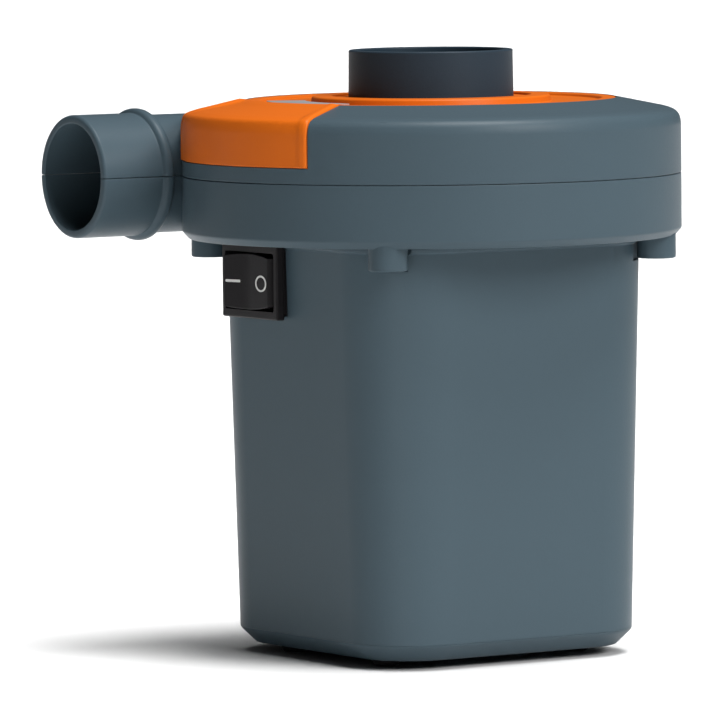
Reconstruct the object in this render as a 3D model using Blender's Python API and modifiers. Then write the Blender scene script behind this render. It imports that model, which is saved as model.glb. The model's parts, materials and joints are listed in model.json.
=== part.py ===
"""Battery air mattress pump: a tapered battery housing under a round fan housing with a side outlet.

Lengths are in metres. The pump's own axis is the line where the impeller turns. Everything hangs from one
empty on that axis, which is shifted so that the origin is the bottom centre of the whole object's box.
"""

import math

import bmesh
import bpy
from mathutils import Matrix, Vector

MM = 0.001
GAP = 0.3 * MM

# Round fan housing, called the volute
LID_RADIUS = 56.5 * MM
LID_WALL = 2.2 * MM
LID_BOTTOM = 94.5 * MM
LID_FLOOR = LID_BOTTOM + 2.0 * MM
LID_CHAMFER_RADIUS = 55.2 * MM
LID_CHAMFER_TOP = 96.1 * MM
SEAM = 108.6 * MM
SHOULDER_BOTTOM = 120.4 * MM
SHOULDER_TOP = 123.1 * MM
CONE_OUTER = 54.0 * MM
CONE_TOP = 125.9 * MM
CEILING = 121.6 * MM
SEAT = 123.6 * MM

# Outlet nozzle, tangent to the lid on its +Y side and pointing along -X
NOZZLE_Y = 42.5 * MM
NOZZLE_TIP = 69.3 * MM
NOZZLE_RADIUS = 13.9 * MM
NOZZLE_ROOT_RADIUS = 13.4 * MM
NOZZLE_BORE = 12.0 * MM
FLANGE_RADIUS = 14.95 * MM
FLANGE_FRONT = 53.4 * MM
FLANGE_BACK = 51.1 * MM

# Inlet port and trim cover
PORT_RADIUS = 18.7 * MM
PORT_BORE = 16.4 * MM
PORT_TOP = 136.6 * MM
THROAT_RADIUS = 17.0 * MM
TRIM_RADIUS = 41.8 * MM
TRIM_RIM_INNER = 38.6 * MM
TRIM_RIM_TOP = 125.85 * MM
TRIM_CHANNEL = 125.1 * MM
COLLAR_INNER = 22.5 * MM
COLLAR_OUTER = 26.9 * MM
COLLAR_TOP = 126.6 * MM
TONGUE_START = 149.5
TONGUE_SWEEP = 57.5
TONGUE_BOTTOM = 112.2 * MM

# Battery housing
HOUSING_TOP = LID_BOTTOM - GAP
RIM_BOTTOM = 93.0 * MM
RIM_HALF = 39.7 * MM
TOP_HALF = 38.7 * MM
BOTTOM_HALF = 36.5 * MM
BOTTOM_CORNER = 16.0 * MM
HOUSING_BOTTOM = 5.9 * MM
HOUSING_WALL = 1.8 * MM

# Screw bosses that hang from the lid into pockets in the housing's corners
BOSS_DISTANCE = 51.4 * MM
BOSS_RADIUS = 4.4 * MM
BOSS_BOTTOM = 89.5 * MM
POCKET_RADIUS = 5.6 * MM
POCKET_FLOOR = 89.0 * MM
SCREW_RADIUS = 1.5 * MM

# Battery door, which is the whole chamfered base
DOOR_TOP = HOUSING_BOTTOM - GAP
DOOR_BOTTOM = 2.0 * MM
DOOR_BASE_HALF = 33.0 * MM
DOOR_FLOOR = 4.4 * MM
HINGE_Y = 39.3 * MM
HINGE_Z = 5.75 * MM
KNUCKLE_RADIUS = 2.4 * MM
KNUCKLE_HALF = 5.7 * MM
EAR_START = 6.1 * MM
EAR_END = 11.0 * MM
PIN_RADIUS = 1.0 * MM
FOOT_RADIUS = 3.1 * MM
FOOT_X = 26.0 * MM
FOOT_Y = 18.6 * MM

# Size D cells and their contacts
CELL_RADIUS = 17.1 * MM
CELL_LENGTH = 61.5 * MM
CELL_OFFSET = 17.35 * MM
NUB_RADIUS = 4.75 * MM
NUB_HEIGHT = 1.5 * MM
HIGH_CELL = 10.3 * MM
LOW_CELL = 5.8 * MM
BULKHEAD_BOTTOM = 73.0 * MM
BULKHEAD_TOP = 75.0 * MM
PLATE_THICKNESS = 0.4 * MM
SPRING_WIRE = 0.4 * MM
SPRING_HEIGHT = 4.4 * MM

# Motor, rotor and impeller
CAN_RADIUS = 12.2 * MM
CAN_TOP = 105.6 * MM
CAN_BOTTOM = 78.5 * MM
CAN_WALL = 1.0 * MM
SHAFT_RADIUS = 1.0 * MM
BUSH_BORE = 1.05 * MM
WELL_RADIUS = 14.5 * MM
WELL_BORE = 12.7 * MM
WELL_TOP = 107.1 * MM
IMPELLER_RADIUS = 37.5 * MM
IMPELLER_BOTTOM = 108.9 * MM
IMPELLER_DISC = 1.4 * MM
BLADE_TOP = 120.8 * MM
BLADE_COUNT = 10
POLE_ANGLES = (90.0, 210.0, 330.0)

# Rocker switch on the -X side
SWITCH_X = -38.6 * MM
SWITCH_Y = 12.4 * MM
SWITCH_Z = 85.2 * MM
BEZEL_HALF_LENGTH = 11.4 * MM
BEZEL_HALF_HEIGHT = 8.4 * MM
BEZEL_PROUD = 2.4 * MM
SWITCH_HALF_LENGTH = 10.7 * MM
SWITCH_HALF_HEIGHT = 7.3 * MM
SWITCH_DEPTH = 12.0 * MM
ROCKER_REACH = 9.6 * MM
ROCKER_HALF_HEIGHT = 6.0 * MM
ROCKER_PIVOT_DEPTH = 1.5 * MM
ROCKER_RISE = 4.8 * MM
ROCKER_TRAVEL = 16.0

ROUND = 44
MEDIUM = 24
SMALL = 12

# The pump's axis stands off the origin, because the nozzle sticks out on one side only.
AXIS_X = (NOZZLE_TIP - LID_RADIUS) / 2
AXIS_Y = (LID_RADIUS - NOZZLE_Y - FLANGE_RADIUS) / 2

for old in list(bpy.data.objects):
    bpy.data.objects.remove(old, do_unlink=True)

parts = bpy.data.collections.new("air_mattress_pump")
cutters = bpy.data.collections.new("cutters")
bpy.context.scene.collection.children.link(parts)
bpy.context.scene.collection.children.link(cutters)

pump_axis = bpy.data.objects.new("pump_axis", None)
pump_axis.location = (AXIS_X, AXIS_Y, 0)
parts.objects.link(pump_axis)


def material(name, colour, roughness, metallic=0.0):
    """A Principled material of one colour."""
    look = bpy.data.materials.new(name)
    look.use_nodes = True
    shader = look.node_tree.nodes["Principled BSDF"]
    shader.inputs["Base Color"].default_value = (*colour, 1.0)
    shader.inputs["Roughness"].default_value = roughness
    shader.inputs["Metallic"].default_value = metallic
    return look


SLATE = material("slate_plastic", (0.088, 0.117, 0.138), 0.5)
ORANGE = material("orange_plastic", (0.66, 0.17, 0.03), 0.45)
CHARCOAL = material("charcoal_plastic", (0.04, 0.042, 0.052), 0.5)
BLACK = material("black_plastic", (0.016, 0.016, 0.017), 0.4)
WHITE = material("white_plastic", (0.72, 0.72, 0.69), 0.5)
SILVER = material("silver_label", (0.56, 0.56, 0.57), 0.35, 0.6)
STEEL = material("steel", (0.55, 0.56, 0.58), 0.3, 1.0)
CELL_LOOK = material("cell_jacket", (0.03, 0.09, 0.2), 0.35)
BRASS = material("brass", (0.72, 0.52, 0.22), 0.3, 1.0)
COPPER = material("copper_wire", (0.6, 0.24, 0.1), 0.35, 1.0)
CARBON = material("carbon", (0.03, 0.03, 0.03), 0.6)
FERRITE = material("ferrite", (0.07, 0.07, 0.075), 0.7)
RUBBER = material("rubber", (0.02, 0.02, 0.02), 0.8)
RED = material("red_insulation", (0.45, 0.02, 0.02), 0.5)


def add(name, mesh, look=None):
    """A named piece of the pump or, with no look, a cutter that isn't rendered."""
    piece = bpy.data.objects.new(name, mesh)
    piece.parent = pump_axis
    if look is None:
        cutters.objects.link(piece)
        piece.hide_render = True
        piece.display_type = "WIRE"
        return piece
    parts.objects.link(piece)
    mesh.materials.append(look)
    return piece


def mesh_from(bm, name, smooth=True):
    """The bmesh as a mesh with its faces pointing out."""
    bmesh.ops.recalc_face_normals(bm, faces=bm.faces)
    mesh = bpy.data.meshes.new(name)
    bm.to_mesh(mesh)
    bm.free()
    if smooth:
        mesh.shade_smooth()
        mesh.set_sharp_from_angle(angle=math.radians(30))
    return mesh


def turned(name, profile, look=None, steps=ROUND):
    """A turned piece: (radius, height) points that run down its outer side, closed or ending on the axis."""
    bm = bmesh.new()
    ring = [bm.verts.new((radius, 0, height)) for radius, height in profile]
    for start, end in zip(ring, ring[1:]):
        bm.edges.new((start, end))
    if profile[0][0] > 0:
        bm.edges.new((ring[-1], ring[0]))
    mesh = bpy.data.meshes.new(name)
    bm.to_mesh(mesh)
    bm.free()
    piece = add(name, mesh, look)
    screw = piece.modifiers.new("turn", "SCREW")
    screw.axis = "Z"
    screw.angle = math.tau
    screw.steps = steps
    screw.render_steps = steps
    screw.use_merge_vertices = True
    screw.merge_threshold = 0.00001
    screw.use_smooth_shade = True
    return piece


def sector(name, profile, start, sweep, look=None, steps=12):
    """A turned piece that covers only some of the circle, with angles in degrees."""
    bm = bmesh.new()
    turn = Matrix.Rotation(math.radians(start), 3, "Z")
    ring = [bm.verts.new(turn @ Vector((radius, 0, height))) for radius, height in profile]
    face = bm.faces.new(ring)
    bmesh.ops.spin(
        bm, geom=[face, *face.edges, *ring], cent=(0, 0, 0), axis=(0, 0, 1),
        angle=math.radians(sweep), steps=steps,
    )
    return add(name, mesh_from(bm, name), look)


def prism(name, outline, low, high, look=None):
    """An upright prism on a closed outline of (x, y) points."""
    bm = bmesh.new()
    face = bm.faces.new([bm.verts.new((x, y, low)) for x, y in outline])
    raised = bmesh.ops.extrude_face_region(bm, geom=[face])["geom"]
    top = [item for item in raised if isinstance(item, bmesh.types.BMVert)]
    bmesh.ops.translate(bm, verts=top, vec=(0, 0, high - low))
    return add(name, mesh_from(bm, name), look)


def block(name, low, high, look=None):
    """A box between two corners."""
    bm = bmesh.new()
    size = [top - bottom for bottom, top in zip(low, high)]
    centre = [(top + bottom) / 2 for bottom, top in zip(low, high)]
    place = Matrix.Translation(centre) @ Matrix.Diagonal((*size, 1))
    bmesh.ops.create_cube(bm, size=1, matrix=place)
    return add(name, mesh_from(bm, name, smooth=False), look)


def rounded_square(half, corner, arc_steps=6):
    """The (x, y) points round a square with rounded corners."""
    points = []
    for quarter in range(4):
        middle = math.radians(45 + 90 * quarter)
        reach = (half - corner) * math.sqrt(2)
        for step in range(arc_steps + 1):
            angle = middle + math.radians(90 * (step / arc_steps - 0.5))
            x = reach * math.cos(middle) + corner * math.cos(angle)
            y = reach * math.sin(middle) + corner * math.sin(angle)
            points.append((x, y))
    return points


def loft(name, levels, look=None):
    """A solid through rounded squares, given as (height, half side, corner radius) from the bottom up."""
    bm = bmesh.new()
    loops = []
    for height, half, corner in levels:
        verts = [bm.verts.new((x, y, height)) for x, y in rounded_square(half, corner)]
        edges = [bm.edges.new(pair) for pair in zip(verts, verts[1:] + verts[:1])]
        loops.append((verts, edges))
    for (_, lower), (_, upper) in zip(loops, loops[1:]):
        bmesh.ops.bridge_loops(bm, edges=lower + upper)
    bm.faces.new(loops[0][0])
    bm.faces.new(loops[-1][0])
    return add(name, mesh_from(bm, name), look)


def strip(name, path, thickness, low, high, look=None):
    """A standing wall of even thickness along a path of (x, y) points."""
    left = []
    right = []
    for index, point in enumerate(path):
        before = Vector(path[max(index - 1, 0)])
        after = Vector(path[min(index + 1, len(path) - 1)])
        along = (after - before).normalized()
        side = Vector((-along.y, along.x)) * thickness / 2
        left.append(tuple(Vector(point) + side))
        right.append(tuple(Vector(point) - side))
    return prism(name, left + right[::-1], low, high, look)


def wire(name, path, radius, look):
    """A round wire along a path, with closed ends."""
    curve = bpy.data.curves.new(name, "CURVE")
    curve.dimensions = "3D"
    curve.bevel_depth = radius
    curve.bevel_resolution = 1
    curve.use_fill_caps = True
    spline = curve.splines.new("POLY")
    spline.points.add(len(path) - 1)
    for point, place in zip(spline.points, path):
        point.co = (*place, 1)
    return add(name, curve, look)


def at(piece, x, y, z=0.0):
    """Places a piece, and returns it."""
    piece.location = (x, y, z)
    return piece


def lay_along_x(piece, x, y, z):
    """Turns an upright piece so that its +Z end points along -X, and places its origin."""
    piece.rotation_euler = (0, -math.pi / 2, 0)
    return at(piece, x, y, z)


def combine(piece, operation, other):
    """Adds a Boolean with the exact solver."""
    boolean = piece.modifiers.new(f"{operation.lower()}_{other.name}", "BOOLEAN")
    boolean.operation = operation
    boolean.solver = "EXACT"
    boolean.object = other


def cut(piece, *others):
    """Takes each cutter out of the piece."""
    for other in others:
        combine(piece, "DIFFERENCE", other)


def join(piece, *others):
    """Adds each cutter's volume to the piece."""
    for other in others:
        combine(piece, "UNION", other)


def polar(distance, degrees):
    """The (x, y) point at a distance and an angle from the pump's axis."""
    angle = math.radians(degrees)
    return (distance * math.cos(angle), distance * math.sin(angle))


def cylinder(name, radius, low, high, look=None, steps=SMALL):
    """A plain upright cylinder."""
    return turned(name, [(0, high), (radius, high), (radius, low), (0, low)], look, steps)


def tube(name, radius, bore, low, high, look=None, steps=SMALL):
    """A plain upright tube."""
    return turned(name, [(bore, high), (radius, high), (radius, low), (bore, low)], look, steps)


BOSS_PLACES = [polar(BOSS_DISTANCE, degrees) for degrees in (45, 135, 225, 315)]


def make_volute():
    """The two halves of the fan housing, with the scroll, the outlet and the screw posts inside them."""
    nozzle = turned("nozzle_body", [
        (0, NOZZLE_TIP), (NOZZLE_RADIUS - 1.1 * MM, NOZZLE_TIP), (NOZZLE_RADIUS, NOZZLE_TIP - 1.1 * MM),
        (NOZZLE_RADIUS, FLANGE_FRONT), (FLANGE_RADIUS, FLANGE_FRONT), (FLANGE_RADIUS, FLANGE_BACK),
        (NOZZLE_ROOT_RADIUS, FLANGE_BACK), (NOZZLE_ROOT_RADIUS, 0), (0, 0),
    ], steps=MEDIUM)
    lay_along_x(nozzle, 0, NOZZLE_Y, SEAM)
    bore = cylinder("nozzle_bore", NOZZLE_BORE, 8 * MM, NOZZLE_TIP + 5 * MM, steps=MEDIUM)
    lay_along_x(bore, 0, NOZZLE_Y, SEAM)

    side = LID_RADIUS + 20 * MM
    above = block("above_seam", (-side, -side, SEAM - GAP / 2), (side, side, SEAM + 40 * MM))
    below = block("below_seam", (-side, -side, SEAM - 40 * MM), (side, side, SEAM + GAP / 2))
    chamber_radius = LID_RADIUS - LID_WALL
    lower_chamber = cylinder("lower_chamber", chamber_radius, LID_FLOOR, SEAM + 20 * MM, steps=ROUND)
    upper_chamber = turned("upper_chamber", [
        (0, CEILING), (chamber_radius - 3.3 * MM, CEILING), (chamber_radius, CEILING - 3.1 * MM),
        (chamber_radius, SEAM - 10 * MM), (0, SEAM - 10 * MM),
    ])

    lower = turned("lower_volute", [
        (0, SEAM - GAP / 2), (LID_RADIUS, SEAM - GAP / 2), (LID_RADIUS, LID_CHAMFER_TOP),
        (LID_CHAMFER_RADIUS, LID_BOTTOM), (0, LID_BOTTOM),
    ], SLATE)
    join(lower, nozzle)
    cut(lower, above, lower_chamber, bore)

    upper = turned("upper_volute", [
        (THROAT_RADIUS, SEAT), (TRIM_RADIUS + GAP, SEAT), (TRIM_RADIUS + GAP, CONE_TOP),
        (CONE_OUTER, SHOULDER_TOP), (55.8 * MM, 122.2 * MM), (LID_RADIUS, SHOULDER_BOTTOM),
        (LID_RADIUS, SEAM + GAP / 2), (chamber_radius, SEAM + GAP / 2),
        (chamber_radius, CEILING - 3.1 * MM), (chamber_radius - 3.3 * MM, CEILING), (THROAT_RADIUS, CEILING),
    ], SLATE)
    join(upper, nozzle)
    cut(upper, below, upper_chamber, bore)

    # The scroll wall widens from the tongue beside the outlet, once round to the outer wall.
    scroll_path = []
    scroll_steps = 20
    for step in range(scroll_steps + 1):
        turn = step / scroll_steps
        scroll_path.append(polar((41.5 + 13.5 * turn ** 1.25) * MM, 127 + 288 * turn))
    throat_path = [(-47.3 * MM, 28.0 * MM), (-37.5 * MM, 34.0 * MM), (-26.0 * MM, 34.6 * MM)]
    halves = ((lower, "lower", LID_FLOOR - 0.5 * MM, SEAM - 1.5 * GAP),
              (upper, "upper", SEAM + 1.5 * GAP, CEILING + 0.5 * MM))
    for half, word, low, high in halves:
        join(half, strip(f"{word}_scroll", scroll_path, 1.6 * MM, low, high))
        join(half, strip(f"{word}_throat", throat_path, 1.6 * MM, low - 0.1 * MM, high + 0.1 * MM))

    motor_hole = cylinder("motor_hole", WELL_RADIUS - 0.9 * MM, LID_BOTTOM - MM, LID_FLOOR + MM, steps=MEDIUM)
    well = turned("motor_well", [
        (3.9 * MM, WELL_TOP), (WELL_RADIUS, WELL_TOP), (WELL_RADIUS, 84 * MM), (WELL_BORE, 84 * MM),
        (WELL_BORE, WELL_TOP - 1.2 * MM), (3.9 * MM, WELL_TOP - 1.2 * MM),
    ], steps=MEDIUM)
    cut(lower, motor_hole)
    join(lower, well)

    for number, (x, y) in enumerate(BOSS_PLACES, start=1):
        post = at(cylinder(f"lower_post_{number}", BOSS_RADIUS, BOSS_BOTTOM, SEAM - 2 * GAP), x, y)
        join(lower, post)
        hole = turned(f"screw_hole_{number}", [
            (0, 117.5 * MM), (SCREW_RADIUS + GAP, 117.5 * MM), (SCREW_RADIUS + GAP, 92.6 * MM),
            (3.3 * MM, 92.6 * MM), (3.3 * MM, BOSS_BOTTOM - MM), (0, BOSS_BOTTOM - MM),
        ], steps=SMALL)
        at(hole, x, y)
        hole.rotation_euler = (0, 0, math.radians(7))
        cut(lower, hole)
        upper_post = cylinder(f"upper_post_{number}", BOSS_RADIUS - 0.4 * MM, SEAM + 2 * GAP, CEILING + 0.7 * MM)
        join(upper, at(upper_post, x, y))
        cut(upper, hole)
        screw = turned(f"case_screw_{number}", [
            (0, 116 * MM), (SCREW_RADIUS - 0.3 * MM, 116 * MM), (SCREW_RADIUS, 115 * MM),
            (SCREW_RADIUS, 92.3 * MM), (2.9 * MM, 92.3 * MM), (2.9 * MM, 91.0 * MM),
            (2.0 * MM, 90.3 * MM), (0, 90.3 * MM),
        ], STEEL, 12)
        at(screw, x, y)

    for sign, word in ((1, "back"), (-1, "front")):
        hole = at(cylinder(f"motor_screw_hole_{word}", 1.1 * MM, 103 * MM, 109 * MM), 0, sign * 7 * MM)
        cut(lower, hole)

    recess = sector("tongue_recess", [
        (41.9 * MM, 124.6 * MM), (53.6 * MM, 122.05 * MM), (54.9 * MM, 121.2 * MM), (55.5 * MM, 120 * MM),
        (55.5 * MM, TONGUE_BOTTOM - GAP), (60 * MM, TONGUE_BOTTOM - GAP), (60 * MM, 130 * MM),
        (41.9 * MM, 130 * MM),
    ], TONGUE_START - 0.35, TONGUE_SWEEP + 0.7)
    cut(upper, recess)
    return lower, upper


def make_top():
    """The trim cover, its blank plate, the inlet port and the finger guard in the throat."""
    trim = turned("trim_cover", [
        (PORT_RADIUS + GAP, 125.8 * MM), (COLLAR_INNER, 125.8 * MM), (COLLAR_INNER, COLLAR_TOP),
        (COLLAR_OUTER, COLLAR_TOP), (COLLAR_OUTER, TRIM_CHANNEL), (TRIM_RIM_INNER, TRIM_CHANNEL),
        (TRIM_RIM_INNER, TRIM_RIM_TOP), (TRIM_RADIUS, TRIM_RIM_TOP), (TRIM_RADIUS, SEAT + GAP),
        (22.0 * MM, SEAT + GAP), (22.0 * MM, 125.0 * MM), (PORT_RADIUS + GAP, 125.0 * MM),
    ], ORANGE)
    tongue = sector("trim_tongue", [
        (40.0 * MM, 126.15 * MM), (42.1 * MM, 126.35 * MM), (54.2 * MM, 123.6 * MM),
        (56.2 * MM, 122.6 * MM), (57.0 * MM, 120.6 * MM), (57.0 * MM, TONGUE_BOTTOM),
        (55.8 * MM, TONGUE_BOTTOM), (55.8 * MM, 120.1 * MM), (55.2 * MM, 121.4 * MM),
        (53.7 * MM, 122.4 * MM), (42.2 * MM, 124.95 * MM), (40.0 * MM, 125.0 * MM),
    ], TONGUE_START, TONGUE_SWEEP)
    join(trim, tongue)

    plate_low = TRIM_CHANNEL + GAP
    plate_high = plate_low + PLATE_THICKNESS
    sector("name_plate", [
        (28.4 * MM, plate_high), (37.2 * MM, plate_high), (37.2 * MM, plate_low), (28.4 * MM, plate_low),
    ], 148, 48, SILVER)

    turned("inlet_port", [
        (PORT_BORE, 136.2 * MM), (PORT_BORE + 0.4 * MM, PORT_TOP), (PORT_RADIUS - 0.5 * MM, PORT_TOP),
        (PORT_RADIUS - 0.1 * MM, 136.2 * MM), (PORT_RADIUS, 124.7 * MM), (21.5 * MM, 124.7 * MM),
        (21.5 * MM, SEAT + GAP), (PORT_BORE, SEAT + GAP),
    ], CHARCOAL, MEDIUM)

    low = CEILING + GAP
    high = SEAT - 0.1 * MM
    guard = tube("inlet_grille", THROAT_RADIUS - 0.4 * MM, 15.4 * MM, low, high, CHARCOAL, MEDIUM)
    join(guard, tube("guard_ring", 9.4 * MM, 8.2 * MM, low, high, steps=24))
    join(guard, cylinder("guard_middle", 2.6 * MM, low, high))
    for number in range(3):
        bar = block(f"guard_bar_{number}", (-16 * MM, -0.6 * MM, low), (16 * MM, 0.6 * MM, high))
        bar.rotation_euler = (0, 0, math.radians(60 * number + 15))
        join(guard, bar)


def make_housing():
    """The battery housing: a tapered rounded-square shell with corner pockets and a switch cut-out."""
    taper = TOP_HALF - BOTTOM_HALF
    top_corner = BOTTOM_CORNER + taper
    rim_step = RIM_HALF - TOP_HALF
    housing = loft("battery_housing", [
        (HOUSING_BOTTOM, BOTTOM_HALF, BOTTOM_CORNER), (RIM_BOTTOM, TOP_HALF, top_corner),
        (RIM_BOTTOM + 0.2 * MM, RIM_HALF, top_corner + rim_step),
        (HOUSING_TOP, RIM_HALF, top_corner + rim_step),
    ], SLATE)
    inside = loft("housing_inside", [
        (HOUSING_BOTTOM - MM, BOTTOM_HALF - HOUSING_WALL, BOTTOM_CORNER - HOUSING_WALL),
        (HOUSING_TOP + MM, TOP_HALF - HOUSING_WALL, top_corner - HOUSING_WALL),
    ])
    for number, (x, y) in enumerate(BOSS_PLACES, start=1):
        wall = cylinder(f"pocket_wall_{number}", POCKET_RADIUS + 1.6 * MM, POCKET_FLOOR - 1.6 * MM, 97 * MM)
        cut(inside, at(wall, x, y))
    cut(housing, inside)
    for number, (x, y) in enumerate(BOSS_PLACES, start=1):
        pocket = cylinder(f"pocket_{number}", POCKET_RADIUS, POCKET_FLOOR, 98 * MM)
        cut(housing, at(pocket, x, y))

    cut(housing, block(
        "switch_window", (-45 * MM, SWITCH_Y - SWITCH_HALF_LENGTH - GAP, SWITCH_Z - SWITCH_HALF_HEIGHT - GAP),
        (-30 * MM, SWITCH_Y + SWITCH_HALF_LENGTH + GAP, SWITCH_Z + SWITCH_HALF_HEIGHT + GAP)))
    cut(housing, block(
        "bezel_notch", (-45 * MM, SWITCH_Y - BEZEL_HALF_LENGTH - GAP, SWITCH_Z - BEZEL_HALF_HEIGHT - GAP),
        (SWITCH_X - 0.35 * MM, SWITCH_Y + BEZEL_HALF_LENGTH + GAP, HOUSING_TOP + MM)))

    for sign, word in ((1, "right"), (-1, "left")):
        low_x, high_x = sorted((sign * EAR_START, sign * EAR_END))
        join(housing, block(f"ear_web_{word}", (low_x + 0.4 * MM, 36.1 * MM, 6.2 * MM),
                            (high_x - 0.4 * MM, 40.4 * MM, 10.7 * MM)))
        ear = cylinder(f"ear_{word}", KNUCKLE_RADIUS, -high_x, -low_x)
        join(housing, lay_along_x(ear, 0, HINGE_Y, HINGE_Z))
    pin_hole = cylinder("ear_pin_hole", PIN_RADIUS + GAP, -15 * MM, 15 * MM)
    cut(housing, lay_along_x(pin_hole, 0, HINGE_Y, HINGE_Z))
    pin = cylinder("hinge_pin", PIN_RADIUS, -EAR_END - 0.4 * MM, EAR_END + 0.4 * MM, STEEL)
    lay_along_x(pin, 0, HINGE_Y, HINGE_Z)


def make_door():
    """The battery door with its knuckle and catch, the rubber feet and the contacts that it carries."""
    door = loft("battery_door", [
        (DOOR_BOTTOM, DOOR_BASE_HALF, BOTTOM_CORNER - (BOTTOM_HALF - DOOR_BASE_HALF)),
        (DOOR_TOP, BOTTOM_HALF, BOTTOM_CORNER),
    ], SLATE)
    cut(door, loft("door_inside", [(DOOR_FLOOR, 32.2 * MM, 11.8 * MM), (DOOR_TOP + MM, 34.4 * MM, 14 * MM)]))
    join(door, block("knuckle_web", (0.4 * MM - KNUCKLE_HALF, 34.8 * MM, 3.6 * MM),
                     (KNUCKLE_HALF - 0.4 * MM, HINGE_Y, 5.35 * MM)))
    knuckle = cylinder("knuckle", KNUCKLE_RADIUS, -KNUCKLE_HALF, KNUCKLE_HALF)
    join(door, lay_along_x(knuckle, 0, HINGE_Y, HINGE_Z))
    join(door, block("catch_tab", (-6 * MM, -33.4 * MM, DOOR_FLOOR - MM), (6 * MM, -32 * MM, 9.6 * MM)))
    join(door, block("catch_nose", (-5 * MM, -34.2 * MM, 8.2 * MM), (5 * MM, -33 * MM, 9.2 * MM)))
    pin_hole = cylinder("knuckle_hole", PIN_RADIUS + 0.1 * MM, -7 * MM, 7 * MM)
    cut(door, lay_along_x(pin_hole, 0, HINGE_Y, HINGE_Z))

    for number, (x, y) in enumerate(((1, 1), (-1, 1), (-1, -1), (1, -1)), start=1):
        foot = turned(f"rubber_foot_{number}", [
            (0, DOOR_BOTTOM - GAP), (FOOT_RADIUS, DOOR_BOTTOM - GAP), (FOOT_RADIUS, 0.5 * MM),
            (FOOT_RADIUS - 0.5 * MM, 0), (0, 0),
        ], RUBBER, SMALL)
        at(foot, x * FOOT_X, y * FOOT_Y)

    plate_low = DOOR_FLOOR + GAP
    for word, y in (("back", CELL_OFFSET), ("front", -CELL_OFFSET)):
        reach = CELL_OFFSET + 7 * MM
        block(f"door_contact_{word}", (-reach, y - 6 * MM, plate_low), (reach, y + 6 * MM,
              plate_low + PLATE_THICKNESS), STEEL)
    spring_low = plate_low + PLATE_THICKNESS + GAP
    make_spring("door_spring_back", CELL_OFFSET, CELL_OFFSET, spring_low, 1)
    make_spring("door_spring_front", -CELL_OFFSET, -CELL_OFFSET, spring_low, 1)


def make_spring(name, x, y, low, direction):
    """A cone spring that narrows towards the cell, up or down."""
    turns = 3
    points_per_turn = 8
    last = turns * points_per_turn
    rise = SPRING_HEIGHT - 2 * SPRING_WIRE
    path = []
    for step in range(last + 1):
        part = step / last
        radius = (6.0 - 2.2 * part) * MM
        height = part if direction > 0 else 1 - part
        turn_x, turn_y = polar(radius, 360 * turns * part)
        path.append((x + turn_x, y + turn_y, low + SPRING_WIRE + rise * height))
    wire(name, path, SPRING_WIRE, STEEL)


def make_cell(number, x, y, low, nub_up):
    """One size D cell, with its nub at the top or the bottom."""
    edge = 0.8 * MM
    lower_end = low if nub_up else low + NUB_HEIGHT
    upper_end = low + CELL_LENGTH - NUB_HEIGHT if nub_up else low + CELL_LENGTH
    profile = [(CELL_RADIUS - edge, upper_end), (CELL_RADIUS, upper_end - edge),
               (CELL_RADIUS, lower_end + edge), (CELL_RADIUS - edge, lower_end)]
    if nub_up:
        top = low + CELL_LENGTH
        profile = [(0, top), (NUB_RADIUS, top), (NUB_RADIUS, upper_end), *profile, (0, lower_end)]
    else:
        profile = [(0, upper_end), *profile, (NUB_RADIUS, lower_end), (NUB_RADIUS, low), (0, low)]
    at(turned(f"battery_cell_{number}", profile, CELL_LOOK, MEDIUM), x, y)


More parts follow.
